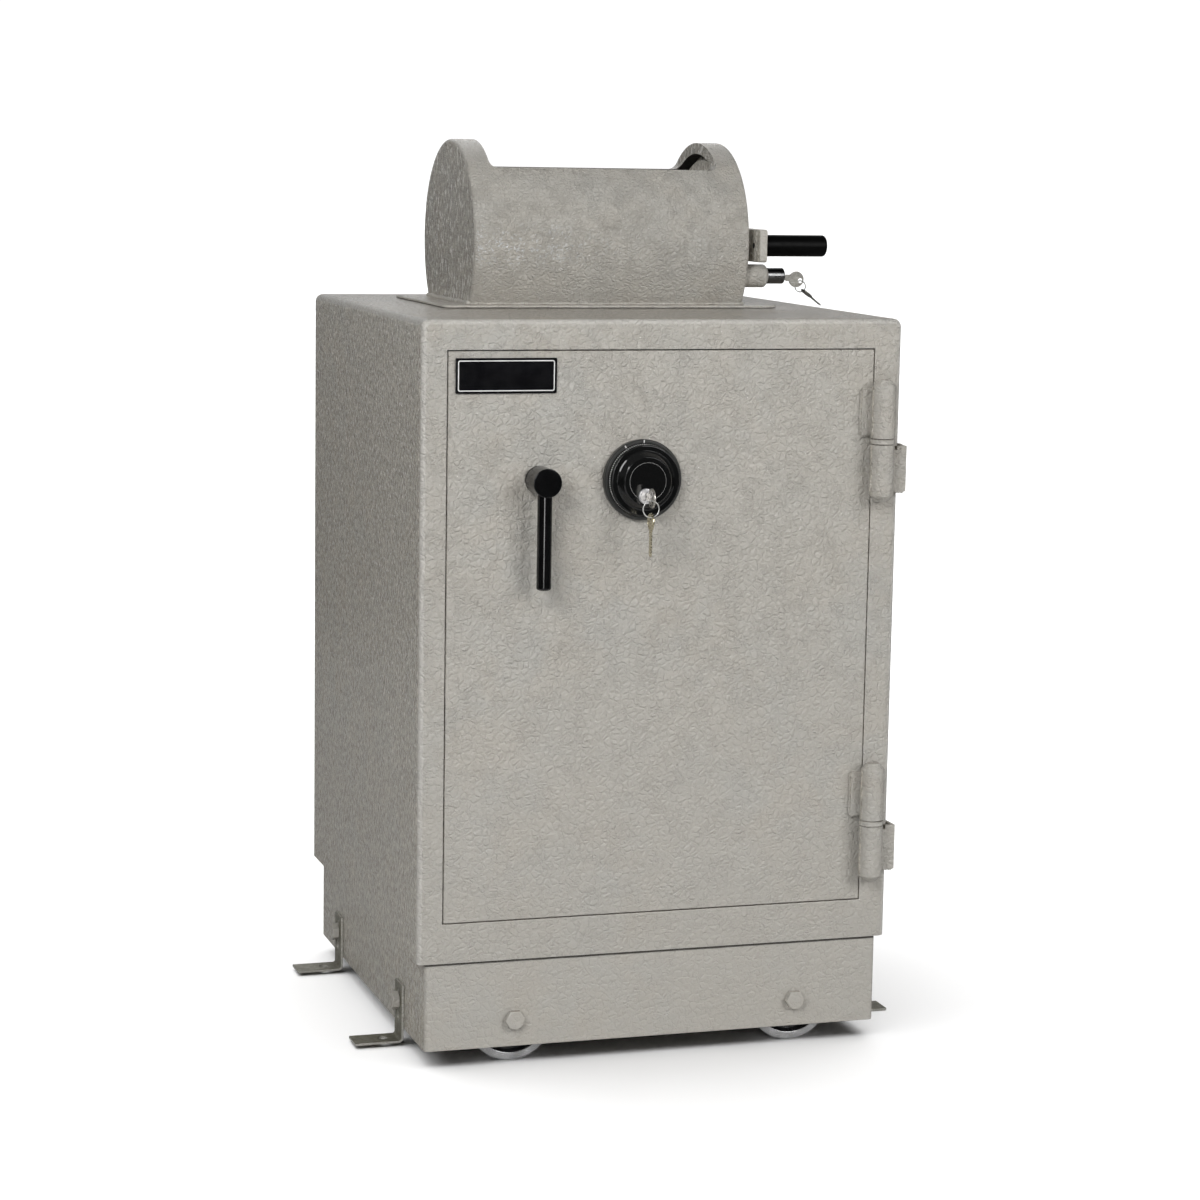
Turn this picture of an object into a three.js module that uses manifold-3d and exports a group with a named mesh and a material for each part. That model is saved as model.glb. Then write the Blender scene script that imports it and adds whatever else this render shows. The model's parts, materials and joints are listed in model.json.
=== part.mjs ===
// Floor-standing depository safe: a plate-steel cabinet with one door, a plinth on four
// wheels with floor anchor brackets, and a rotary deposit drum in a hopper on its top.
// Millimetres, +Z up, the door faces -Y. Every dimension below is measured from the
// cabinet's front bottom left corner; the last lines move the origin to the middle of the
// footprint at floor level.
import * as THREE from 'three';
import { mergeVertices } from 'three/addons/utils/BufferGeometryUtils.js';
import { RoundedBoxGeometry } from 'three/addons/geometries/RoundedBoxGeometry.js';
import Module from 'manifold-3d';

const wasm = await Module();
wasm.setup();

// ---------------------------------------------------------------- driving dimensions
const W = 548, D = 540, H = 700;             // cabinet
const T = 6.35;                              // cabinet plate
const EDGE_R = 9;                            // folded edges of the cabinet
const GAP = 0.3;                             // clearance between pieces that touch
const DOOR = { x0: 29.4, x1: 514.1, z0: 45, z1: 666.3, t: 12.7, gap: 2 };
const STOP = { x0: 39.5, x1: 504, z0: 56, z1: 655, y0: 13.5, y1: 28.5 };
const PL = { x0: 10, x1: 538, y0: 4.06, y1: 526.3, z0: -99.3, t: 6 };   // plinth
const FLOOR = -118.5;
const WHEEL_R = 50, WHEEL_W = 28, AXLE_Z = -68.5;
const WHEEL_X = [111.5, 440.5];
const BR = { t: 3, foot: 56, w: 32, h: 66.5, lift: 3.5 };               // anchor brackets
const BR_Y = [112, 424], BR_BOLT_Z = -69.5;
const AX = { y: 330, z: 772 };                                          // drum axis
const HOP = { x0: 113.5, x1: 443.5, r: 117, bore: 104.3, plate: 12.7, winX0: 141.5, winX1: 415.5, winZ: 857.5 };
const DRUM = { x0: 127.7, x1: 429.3, r: 102.8, wall: 5, disc: 6, cutZ: 850, shaft: 12.5 };
const FL = { x0: 78.5, x1: 478.5, y0: 210, y1: 450, z0: H + GAP, t: 3, r: 10 };
const THROAT = { x0: 125, x1: 432, y0: 250, y1: 410 };
const ARM = { x0: 453.5, t: 9.4, h: 38, y0: 206.6 };
const GRIP = { y: 227.7, r: 12.5, x1: 541.5 };
const LOCK = { y: 240, z: 736.5 };                                      // deposit lock axis
const HINGE = { x: 521.3, y: -14, r: 13.4, pin: 6, half: 67 };
const HINGE_Z = [566, 136];
const HANDLE = { x: 130.5, z: 528, r: 15.75, len: 35, rodR: 8, rodZ: 412, rodY: -24 };
const CAM_R = 15.6;                                                     // throws the bolts 22 mm in a quarter turn
const DIAL = { x: 246, z: 527, ringR: 44, r: 39.2, rimR: 38.4, knobR: 31.2, faceR: 25.9, face: -24 };
const PLUG = { x: 244, z: 511, r: 8.5 };                                // key plug in the dial's face
const BOLT_Z = [150, 355, 570], BOLT_R = 11, BOLT_Y = 41.5;

// ---------------------------------------------------------------- helpers
function solid(geometry) {
  const g = geometry.clone();
  for (const a of Object.keys(g.attributes)) if (a !== 'position') g.deleteAttribute(a);
  const m = mergeVertices(g, 1e-3);
  const idx = new Uint32Array(m.index.array);
  const keep = [];
  for (let i = 0; i < idx.length; i += 3)
    if (idx[i] !== idx[i + 1] && idx[i + 1] !== idx[i + 2] && idx[i] !== idx[i + 2]) keep.push(idx[i], idx[i + 1], idx[i + 2]);
  const make = (t) => new wasm.Manifold(new wasm.Mesh({ numProp: 3, vertProperties: new Float32Array(m.attributes.position.array), triVerts: new Uint32Array(t) }));
  const s = make(keep);
  if (s.volume() > 0) return s;
  const turned = [];
  for (let i = 0; i < keep.length; i += 3) turned.push(keep[i], keep[i + 2], keep[i + 1]);
  return make(turned);
}

function geometryOf(s) {
  const m = s.getMesh(), n = m.numProp;
  const v = new Float32Array(m.numVert * 3);
  for (let i = 0; i < m.numVert; i++) v.set(m.vertProperties.subarray(i * n, i * n + 3), i * 3);
  const g = new THREE.BufferGeometry();
  g.setAttribute('position', new THREE.BufferAttribute(v, 3));
  g.setIndex(new THREE.BufferAttribute(new Uint32Array(m.triVerts), 1));
  g.computeVertexNormals();
  return g;
}

const box = (x0, x1, y0, y1, z0, z1) =>
  solid(new THREE.BoxGeometry(x1 - x0, y1 - y0, z1 - z0).translate((x0 + x1) / 2, (y0 + y1) / 2, (z0 + z1) / 2));

// A turned solid: profile of [radius, position along the axis], about axis 'x', 'y' or 'z' through the point c.
function turn(profile, axis, c = [0, 0, 0], segments = 32, phase = 0) {
  const g = new THREE.LatheGeometry(profile.map(([r, t]) => new THREE.Vector2(r, t)), segments, phase);
  if (axis === 'x') g.rotateZ(-Math.PI / 2);
  if (axis === 'z') g.rotateX(Math.PI / 2);
  g.translate(c[0], c[1], c[2]);
  return solid(g);
}
// The plain cylinder from a to b along the axis, with an optional chamfer at each end.
function cyl(r, a, b, axis, c, segments = 32, ca = 0, cb = 0, phase = 0) {
  const p = [[0, a]];
  if (ca) p.push([r - ca, a], [r, a + ca]); else p.push([r, a]);
  if (cb) p.push([r, b - cb], [r - cb, b]); else p.push([r, b]);
  p.push([0, b]);
  return turn(p, axis, c, segments, phase);
}
// A closed outline drawn in two of the axes, pushed through along the third from a to b.
function prism(points, axis, a, b, holes = []) {
  const s = new THREE.Shape(points.map(([u, v]) => new THREE.Vector2(u, v)));
  for (const h of holes) s.holes.push(new THREE.Path(h.map(([u, v]) => new THREE.Vector2(u, v))));
  const g = new THREE.ExtrudeGeometry(s, { depth: b - a, bevelEnabled: false, steps: 1 });
  g.translate(0, 0, a);
  if (axis === 'y') g.applyMatrix4(new THREE.Matrix4().set(1, 0, 0, 0, 0, 0, 1, 0, 0, 1, 0, 0, 0, 0, 0, 1));   // u=x, v=z
  if (axis === 'x') g.applyMatrix4(new THREE.Matrix4().set(0, 0, 1, 0, 1, 0, 0, 0, 0, 1, 0, 0, 0, 0, 0, 1));   // u=y, v=z
  return solid(g);
}
const circlePts = (cx, cy, r, n = 24, a0 = 0, a1 = 2 * Math.PI, closed = true) =>
  Array.from({ length: closed ? n : n + 1 }, (_, i) => [cx + r * Math.cos(a0 + (a1 - a0) * i / n), cy + r * Math.sin(a0 + (a1 - a0) * i / n)]);
function roundRect(x0, x1, y0, y1, r, n = 4) {
  const q = Math.PI / 2;
  return [
    ...circlePts(x1 - r, y0 + r, r, n, -q, 0, false), ...circlePts(x1 - r, y1 - r, r, n, 0, q, false),
    ...circlePts(x0 + r, y1 - r, r, n, q, 2 * q, false), ...circlePts(x0 + r, y0 + r, r, n, 2 * q, 3 * q, false),
  ];
}
const hexPts = (cx, cy, af, a0 = 0) => circlePts(cx, cy, af / Math.sqrt(3), 6, a0, a0 + 2 * Math.PI);
const join = (...s) => s.reduce((a, b) => a.add(b));
const cut = (s, ...t) => t.reduce((a, b) => a.subtract(b), s);

const root = new THREE.Group();
const PAINT = [0x9d9890, 0.55, 0.0];
const STEEL = [0xa9abad, 0.35, 1.0];
const ZINC = [0x77776a, 0.45, 1.0];
const BLACK = [0x0b0b0c, 0.25, 0.0];
const CHROME = [0xd8d8da, 0.12, 1.0];
const KEY = [0xc9c4b4, 0.3, 1.0];
const BRONZE = [0x9a7442, 0.4, 1.0];
function part(name, s, look, group = root) {
  const m = new THREE.Mesh(geometryOf(s), new THREE.MeshStandardMaterial({ color: look[0], roughness: look[1], metalness: look[2] }));
  m.name = name;
  group.add(m);
  return m;
}

// ---------------------------------------------------------------- cabinet
// Shell: rounded box with a square bottom edge, hollow, with the door opening and the throat cut in it.
{
  const extra = 40;
  let s = solid(new RoundedBoxGeometry(W, D, H + extra, 3, EDGE_R).translate(W / 2, D / 2, (H - extra) / 2));
  s = cut(s, box(-20, W + 20, -20, D + 20, -extra - 20, 0));
  s = cut(s, box(T, W - T, T, D - T, T, H - T));
  s = cut(s, box(DOOR.x0 - DOOR.gap, DOOR.x1 + DOOR.gap, -5, T + 1, DOOR.z0 - DOOR.gap, DOOR.z1 + DOOR.gap));
  s = cut(s, box(THROAT.x0, THROAT.x1, THROAT.y0, THROAT.y1, H - T - 2, H + 5));
  part('cabinet_shell', s, PAINT);
}
// Door frame: jamb bar around the door's edge with the stop ring that the door closes on.
{
  const o = T + GAP + 0.1;
  let s = box(o, W - o, T + GAP, STOP.y1, o, H - o);
  s = cut(s, box(DOOR.x0 - DOOR.gap, DOOR.x1 + DOOR.gap, 0, STOP.y0, DOOR.z0 - DOOR.gap, DOOR.z1 + DOOR.gap));
  s = cut(s, box(STOP.x0, STOP.x1, 0, STOP.y1 + 1, STOP.z0, STOP.z1));
  part('door_frame', s, PAINT);
}
// Anti-fishing plate: hangs from the top in front of the throat and slopes back below it.
part('anti_fishing_plate', prism([[222, H - T - GAP], [222, 604], [440, 502], [442, 505], [225, 607], [225, H - T - GAP]], 'x', 70, 480), PAINT);

// ---------------------------------------------------------------- plinth, wheels, anchors
const FRONT_AXLE = { wheel: [13, 13 + WHEEL_W], rail: [45, 51] };
const mirrorY = (y) => PL.y0 + PL.y1 - y;
{
  let s = prism(roundRect(PL.x0, PL.x1, PL.y0, PL.y1, 6, 3), 'z', PL.z0, -GAP, [roundRect(PL.x0 + PL.t, PL.x1 - PL.t, PL.y0 + PL.t, PL.y1 - PL.t, 1.5, 1).reverse()]);
  s = join(s, box(PL.x0 + 3, PL.x1 - 3, 45, 51, -94, -40), box(PL.x0 + 3, PL.x1 - 3, mirrorY(51), mirrorY(45), -94, -40));
  for (const x of WHEEL_X) s = cut(s, cyl(6.4, 0, 60, 'y', [x, 0, AXLE_Z], 14), cyl(6.4, mirrorY(60), mirrorY(0), 'y', [x, 0, AXLE_Z], 14));
  for (const y of BR_Y) s = cut(s, cyl(5.4, PL.x0 - 5, PL.x0 + 12, 'x', [0, y, BR_BOLT_Z], 12), cyl(5.4, PL.x1 - 12, PL.x1 + 5, 'x', [0, y, BR_BOLT_Z], 12));
  part('plinth_frame', s, PAINT);
}
{
  const [w0, w1] = FRONT_AXLE.wheel;
  // Wheel: tyre tread with rounded shoulders, recessed web and a hub, bored for its axle bolt.
  const profile = [[6.4, w0 + 1], [18, w0 + 1], [18, w0 + 7], [40, w0 + 7], [42, w0], [47.5, w0], [WHEEL_R, w0 + 4],
    [WHEEL_R, w1 - 4], [47.5, w1], [6.4, w1], [6.4, w0 + 1]];
  const flip = profile.map(([r, y]) => [r, mirrorY(y)]).reverse();
  WHEEL_X.forEach((x, i) => {
    const side = i ? 'right' : 'left';
    part('wheel_front_' + side, turn(profile, 'y', [x, 0, AXLE_Z], 28, Math.PI / 28), [0x55565a, 0.35, 0.2]);
    part('wheel_rear_' + side, turn(flip, 'y', [x, 0, AXLE_Z], 28, Math.PI / 28), [0x55565a, 0.35, 0.2]);
    // Axle bolt: hex head on the plinth's face, shank through the wheel and the rail, nut behind.
    for (const [where, my] of [['front', (y) => y], ['rear', mirrorY]]) {
      const seg = (a, b) => [Math.min(my(a), my(b)), Math.max(my(a), my(b))];
      const [h0, h1] = seg(PL.y0 - 8, PL.y0 - GAP), [s0, s1] = seg(PL.y0 - 2, 58), [n0, n1] = seg(51.3, 60.5);
      part('axle_bolt_' + where + '_' + side, join(
        prism(hexPts(x, AXLE_Z, 20), 'y', h0, h1), cyl(6, s0, s1, 'y', [x, 0, AXLE_Z], 14), prism(hexPts(x, AXLE_Z, 19), 'y', n0, n1)), PAINT);
    }
  });
}
{
  // Anchor bracket: slotted leg against the plinth's side, foot on the floor with one hole.
  const L = (side, y, zb) => {
    const xi = side < 0 ? PL.x0 - GAP : PL.x1 + GAP;            // inner face of the leg
    const dir = side;                                            // -1 towards -X, +1 towards +X
    const xo = xi + dir * BR.t, tip = (side < 0 ? PL.x0 : PL.x1) + dir * BR.foot;
    const R = 6, r = 3;
    const arc = (rad) => Array.from({ length: 4 }, (_, k) => {
      const a = (Math.PI / 2) * k / 3;                           // from the leg's face round to the foot's underside
      return [xi + dir * R - dir * rad * Math.cos(a), zb + R - rad * Math.sin(a)];
    });
    const outline = [[xi, zb + BR.h], ...arc(R), [tip, zb], [tip, zb + BR.t], ...arc(r).reverse(), [xo, zb + BR.h]];
    let s = prism(outline, 'y', y - BR.w / 2, y + BR.w / 2);
    const slot = roundRect(y - 5.8, y + 5.8, zb + 22, zb + 60, 5.6, 3);
    s = cut(s, prism(slot, 'x', Math.min(xi, xo) - 2, Math.max(xi, xo) + 2));
    s = cut(s, cyl(5.5, zb - 2, zb + BR.t + 2, 'z', [tip - dir * 35.5, y, 0], 14));
    return s;
  };
  for (const [side, tag] of [[-1, 'left'], [1, 'right']])
    BR_Y.forEach((y, i) => {
      const where = i ? 'rear' : 'front';
      const zb = side < 0 ? FLOOR + BR.lift : FLOOR;
      part('anchor_bracket_' + where + '_' + tag, L(side, y, zb), ZINC);
      const xf = side < 0 ? PL.x0 - GAP - BR.t - GAP : PL.x1 + GAP + BR.t + GAP;
      const xin = side < 0 ? PL.x0 + PL.t + GAP : PL.x1 - PL.t - GAP;
      const s2 = (a, b) => [Math.min(a, b), Math.max(a, b)];
      const [h0, h1] = s2(xf, xf + side * 8), [k0, k1] = s2(xf + side * 2, xin - side * 9), [n0, n1] = s2(xin, xin - side * 8);
      part('anchor_bolt_' + where + '_' + tag, join(
        prism(hexPts(y, BR_BOLT_Z, 18.5, Math.PI / 6), 'x', h0, h1), cyl(5, k0, k1, 'x', [0, y, BR_BOLT_Z], 12), prism(hexPts(y, BR_BOLT_Z, 17, Math.PI / 6), 'x', n0, n1)), PAINT);
    });
}

// ---------------------------------------------------------------- deposit hopper
part('hopper_flange', prism(roundRect(FL.x0, FL.x1, FL.y0, FL.y1, FL.r, 4), 'z', FL.z0, FL.z0 + FL.t,
  [[[THROAT.x0, THROAT.y0], [THROAT.x0, THROAT.y1], [THROAT.x1, THROAT.y1], [THROAT.x1, THROAT.y0]]]), PAINT);
const HOUSING_Z0 = FL.z0 + FL.t + GAP;
{
  // Housing: thick drum casing with welded end plates, cut flat across its top for the window and open below.
  const { x0, x1, r, bore, plate } = HOP, e = 3.5, c = [0, AX.y, AX.z];
  let s = turn([[0, x0], [r - e, x0], [r - e * 0.3, x0 + e * 0.3], [r, x0 + e], [r, x1 - e], [r - e * 0.3, x1 - e * 0.3], [r - e, x1], [0, x1]], 'x', c, 60);
  s = cut(s, cyl(bore, x0 + plate, x1 - plate, 'x', c, 60));
  s = cut(s, box(x0 - 5, x1 + 5, AX.y - r - 5, AX.y + r + 5, AX.z - r - 5, HOUSING_Z0));
  const wr = 8;
  const win = [...circlePts(HOP.winX0 + wr, HOP.winZ + wr, wr, 5, Math.PI, 1.5 * Math.PI, false), ...circlePts(HOP.winX1 - wr, HOP.winZ + wr, wr, 5, 1.5 * Math.PI, 2 * Math.PI, false),
    [HOP.winX1, AX.z + r + 5], [HOP.winX0, AX.z + r + 5]];
  s = cut(s, prism(win, 'y', AX.y - r - 5, AX.y + r + 5));
  s = cut(s, cyl(17, x0 + plate - 9, x0 + plate + 1, 'x', c, 20));
  s = cut(s, cyl(17, x1 - plate - 1, x1 + 1, 'x', c, 20));
  s = cut(s, cyl(4.4, x1 - plate - 1, x1 + 1, 'x', [0, LOCK.y, LOCK.z], 12));
  part('hopper_housing', s, PAINT);
  part('drum_bush_left', cut(cyl(16.7, x0 + plate - 8.7, x0 + plate - 0.2, 'x', c, 20), cyl(12.8, x0, x0 + 40, 'x', c, 20)), BRONZE);
  part('drum_bush_right', cut(cyl(16.7, x1 - plate + 0.2, x1 - 0.2, 'x', c, 20), cyl(12.8, x1 - 40, x1 + 5, 'x', c, 20)), BRONZE);
}
// Deposit lock: boss welded to the housing's right end, lock body in it.
part('deposit_lock_boss', turn([[9.6, HOP.x1 + GAP], [13.5, HOP.x1 + GAP], [13.5, 469.6], [12.8, 472], [11.2, 473.6], [9.6, 473.6], [9.6, HOP.x1 + GAP]], 'x', [0, LOCK.y, LOCK.z], 24), PAINT);
part('deposit_lock_body', cut(cyl(9.25, 447.5, 495, 'x', [0, LOCK.y, LOCK.z], 24, 0, 1.8), cyl(6, 470, 500, 'x', [0, LOCK.y, LOCK.z], 24)), STEEL);

// ---------------------------------------------------------------- frame halves of the hinges
for (const [z, tag] of [[HINGE_Z[0], 'top'], [HINGE_Z[1], 'bottom']]) {
  const c = [HINGE.x, HINGE.y, 0], b = z - HINGE.half, R = HINGE.r;
  // Lower barrel with its tapered foot, thrust washer and pin in one, and the leaf that hugs the cabinet's corner.
  let s = turn([[0, b], [R - 6.5, b], [R, b + 6.5], [R, z - 3.3], [R - 1, z - 2.9], [R + 0.3, z - 2.5], [R + 0.3, z + 3.2],
    [HINGE.pin, z + 3.2], [HINGE.pin, z + 50], [HINGE.pin - 1.5, z + 51.5], [0, z + 51.5]], 'z', c, 20);
  s = join(s, box(530.5, 542, -10, -1.5, z - 57, z - 10), box(541.6, 553.5, -7, -0.5, z - 57, z - 6), box(W + 0.4, 553.5, -7, 40, z - 57, z - 6));
  part('hinge_frame_half_' + tag, s, PAINT);
}

// ---------------------------------------------------------------- door
const door = new THREE.Group();
root.add(door);
{
  let s = box(DOOR.x0, DOOR.x1, 0, DOOR.t, DOOR.z0, DOOR.z1);
  s = cut(s, cyl(8.5, -2, 20, 'y', [HANDLE.x, 0, HANDLE.z], 16), cyl(5.5, -2, 20, 'y', [DIAL.x, 0, DIAL.z], 16));
  part('door_plate', s, PAINT, door);
  // Boltwork cover: a tray over the door's back with one long window for the bolts in its left wall.
  let c = cut(box(45.5, 490, DOOR.t + 0.5, 60, 62, 649), box(47.1, 488.4, DOOR.t, 58.4, 63.6, 647.4));
  c = cut(c, box(40, 50, 22, 54, 84, 630));
  part('boltwork_cover', c, PAINT, door);
  part('nameplate', prism(roundRect(36.7, 148.5, 621.3, 659.2, 1.5, 2), 'y', -2.2, -GAP), BLACK, door);
  part('hinge_side_dead_bar', join(box(492, 499.5, DOOR.t + GAP, 43, 110, 600), box(492, 512, 33.5, 43, 110, 600)), STEEL, door);
  // Bolt guide rail: one plate with a bore for each bolt.
  let g = box(54, 61, DOOR.t + GAP, 57, 110, 610);
  for (const z of BOLT_Z) g = cut(g, cyl(BOLT_R + 0.5, 50, 66, 'x', [0, BOLT_Y, z], 18));
  part('bolt_guide_rail', g, STEEL, door);
  // Combination lock case, with the well that its bolt slides in.
  let k = box(205, 287, DOOR.t + GAP, 40, 486, 566);
  k = cut(k, cyl(5.5, 0, 31, 'y', [DIAL.x, 0, DIAL.z], 20), box(239.7, 254.3, 21.7, 34.3, 535, 570));
  part('combination_lock_case', k, STEEL, door);
  for (const [z, tag] of [[HINGE_Z[0], 'top'], [HINGE_Z[1], 'bottom']]) {
    const t = z + HINGE.half + 1, R = HINGE.r;
    let h = turn([[HINGE.pin + 0.3, z + 3.5], [R - 0.5, z + 3.5], [R, z + 4], [R, t - 5], [R - 3.2, t - 0.5], [R - 5.5, t], [0, t], [0, z + 53], [HINGE.pin + 0.3, z + 53], [HINGE.pin + 0.3, z + 3.5]], 'z', [HINGE.x, HINGE.y, 0], 20);
    h = join(h, box(499.5, 519.5, -5.6, -GAP, z + 6, z + 57));
    part('hinge_door_half_' + tag, h, PAINT, door);
  }
  // Dial ring on the door's face.
  part('dial_ring', turn([[6.5, -GAP], [DIAL.ringR, -GAP], [DIAL.ringR, -6], [DIAL.ringR - 1.2, -8], [DIAL.r + 0.7, -8], [DIAL.r + 0.7, -3], [6.5, -3], [6.5, -GAP]], 'y', [DIAL.x, 0, DIAL.z], 40), BLACK, door);
}
// Handle: hub and rod outside, spindle with its cam and pin inside.
{
  const c = [HANDLE.x, 0, HANDLE.z];
  part('handle_hub', cut(cyl(HANDLE.r, -HANDLE.len, -0.4, 'y', c, 28, 0.8, 0.4), cyl(8.3, -14, 1, 'y', c, 16), cyl(8.3, HANDLE.z - 40, HANDLE.z - 9.5, 'z', [HANDLE.x, HANDLE.rodY, 0], 20)), BLACK, door);
  part('handle_rod', cyl(HANDLE.rodR, HANDLE.rodZ, HANDLE.z - 9.8, 'z', [HANDLE.x, HANDLE.rodY, 0], 20, 2, 0), BLACK, door);
  const px = HANDLE.x + CAM_R * Math.SQRT1_2, pz = HANDLE.z - CAM_R * Math.SQRT1_2;
  part('handle_spindle_cam', join(cyl(8, -13.7, 20.5, 'y', c, 16), cyl(22, 14, 20.5, 'y', c, 24), cyl(4, 19, 31.5, 'y', [px, 0, pz], 14)), STEEL, door);
  // Bolt carriage: bar behind the guide rail, slotted plate for the cam pin, and the tab that the lock's bolt enters.
  let s = box(88, 108, 31, 52, 120, 595);
  s = join(s, box(107, 165, 24, 31, 498, 532), box(107, 112, 24, 40, 498, 532), box(107, 290, 17.5, 38.5, 570, 582));
  s = cut(s, prism(roundRect(px - 4.9, px + 4.9, 504.8, 524, 4.6, 5), 'y', 20, 35));
  for (const x of [239, 261]) s = cut(s, box(x, x + 16, 21.5, 34.5, 565, 590));
  for (const z of BOLT_Z) s = cut(s, cyl(6.4, 80, 120, 'x', [0, BOLT_Y, z], 14));
  part('bolt_carriage', s, STEEL, door);
  BOLT_Z.forEach((z, i) => part('locking_bolt_' + ['bottom', 'middle', 'top'][i],
    turn([[0, 46.5], [BOLT_R - 1.5, 46.5], [BOLT_R, 48], [BOLT_R, 87.7], [6, 87.7], [6, 111], [0, 111]], 'x', [0, BOLT_Y, z], 18), STEEL, door));
  part('combination_lock_bolt', box(240, 254, 22, 34, 536.5, 565.5), BRONZE, door);
}
// Dial with its knob and spindle, the key plug in its face and the keys.
{
  const c = [DIAL.x, 0, DIAL.z], f = DIAL.face;
  let s = turn([[0, 30], [4, 30], [4, -3.6], [DIAL.r, -3.6], [DIAL.r, -8.4], [DIAL.rimR, -15.2], [DIAL.rimR - 1.2, -16.6], [DIAL.knobR + 0.6, -16.6], [DIAL.knobR, -17.4], [DIAL.faceR + 1.4, f + 1.1], [DIAL.faceR, f], [0, f]], 'y', c, 40);
  s = cut(s, cyl(PLUG.r + 0.3, f - 2, f + 14, 'y', [PLUG.x, 0, PLUG.z], 24));
  part('dial_knob', s, BLACK, door);
  let p = cyl(PLUG.r, f - 2.4, f + 13.6, 'y', [PLUG.x, 0, PLUG.z], 24, 0.9, 0);
  p = cut(p, box(PLUG.x - 1.3, PLUG.x + 1.3, f - 4, f + 12, PLUG.z - 4, PLUG.z + 4));
  part('dial_key_plug', p, CHROME, door);
  // A flat key in the plane x = PLUG.x: bow with a ring hole, neck and blade.
  const keyShape = (cy, cz, R, n = 20) => circlePts(cy, cz, R, n);
  let k = prism(keyShape(f - 20, PLUG.z, 10.5), 'x', PLUG.x - 1.1, PLUG.x + 1.1);
  k = join(k, box(PLUG.x - 1, PLUG.x + 1, f - 12, f - 3, PLUG.z - 4.2, PLUG.z + 4.2), box(PLUG.x - 1, PLUG.x + 1, f - 4, f + 11, PLUG.z - 3.5, PLUG.z + 3.5));
  k = cut(k, cyl(3, PLUG.x - 5, PLUG.x + 5, 'x', [0, f - 21, PLUG.z - 3.5], 16));
  part('dial_key', k, KEY, door);
  const ring = (R, w, m = 22, n = 6) => new THREE.TorusGeometry(R, w, n, m);
  part('dial_key_ring', solid(ring(9, 0.7).rotateX(Math.PI / 2).translate(PLUG.x - 1, f - 21, 499.5)), CHROME, door);
  let q = prism(keyShape(f - 21, 486, 9.5), 'x', PLUG.x - 2, PLUG.x);
  q = join(q, box(PLUG.x - 1.9, PLUG.x - 0.1, f - 24.5, f - 17.5, 447, 480));
  q = cut(q, cyl(3, PLUG.x - 6, PLUG.x + 4, 'x', [0, f - 21, 491], 16));
  part('dial_spare_key', q, KEY, door);
}

// ---------------------------------------------------------------- deposit drum
{
  const c = [0, AX.y, AX.z], { x0, x1, r, wall, disc, cutZ, shaft } = DRUM;
  // Drum: tube cut open along its top for the pocket, full discs welded inside its ends, stub shafts.
  let s = cut(cyl(r, x0, x1, 'x', c, 56), cyl(r - wall, x0 - 1, x1 + 1, 'x', c, 56), box(x0 - 5, x1 + 5, AX.y - r - 5, AX.y + r + 5, cutZ, AX.z + r + 5));
  s = join(s, cyl(r - wall + 0.5, x0, x0 + disc, 'x', c, 56), cyl(r - wall + 0.5, x1 - disc, x1, 'x', c, 56));
  s = join(s, cyl(shaft, HOP.x0 + 4.5, x0 + disc - 1, 'x', c, 20), cyl(shaft, x1 - disc + 1, ARM.x0 + ARM.t + 1.5, 'x', c, 20, 0, 1));
  for (const k of [1, -1]) s = cut(s, cyl(4.6, x1 - 13, x1 + 2, 'x', [0, AX.y + k * (LOCK.y - AX.y), AX.z + k * (LOCK.z - AX.z)], 12));
  part('deposit_drum', s, PAINT);
  // Crank arm: flat bar keyed on the shaft, with a spacer boss towards the housing and the grip's screw.
  const ax0 = ARM.x0, ax1 = ARM.x0 + ARM.t;
  let a = prism([[ARM.y0, AX.z - ARM.h / 2 + 3], [ARM.y0 + 3, AX.z - ARM.h / 2], ...circlePts(AX.y, AX.z, ARM.h / 2, 12, -Math.PI / 2, Math.PI / 2, false), [ARM.y0 + 3, AX.z + ARM.h / 2], [ARM.y0, AX.z + ARM.h / 2 - 3]], 'x', ax0, ax1);
  a = join(a, cyl(17, HOP.x1 + 1.2, ax0 + 1, 'x', c, 20));
  a = cut(a, cyl(shaft + 0.3, HOP.x1, ax1 + 5, 'x', c, 20));
  a = join(a, cyl(5, ax0 + 4, GRIP.x1 - 14, 'x', [0, GRIP.y, AX.z], 14, 0, 0.5));
  a = cut(a, cyl(3.2, ax0 - 1, ax0 + 3, 'x', [0, GRIP.y, AX.z], 12));
  part('crank_arm', a, PAINT);
  const g0 = ax1 + 0.4, g1 = GRIP.x1, gr = GRIP.r;
  part('crank_grip', turn([[5.3, g0], [gr - 0.8, g0], [gr, g0 + 0.8], [gr, g1 - 3.5], [gr - 1, g1 - 1], [gr - 3.5, g1], [0, g1], [0, g1 - 13], [5.3, g1 - 13], [5.3, g0]], 'x', [0, GRIP.y, AX.z], 24), BLACK);
}
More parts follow.
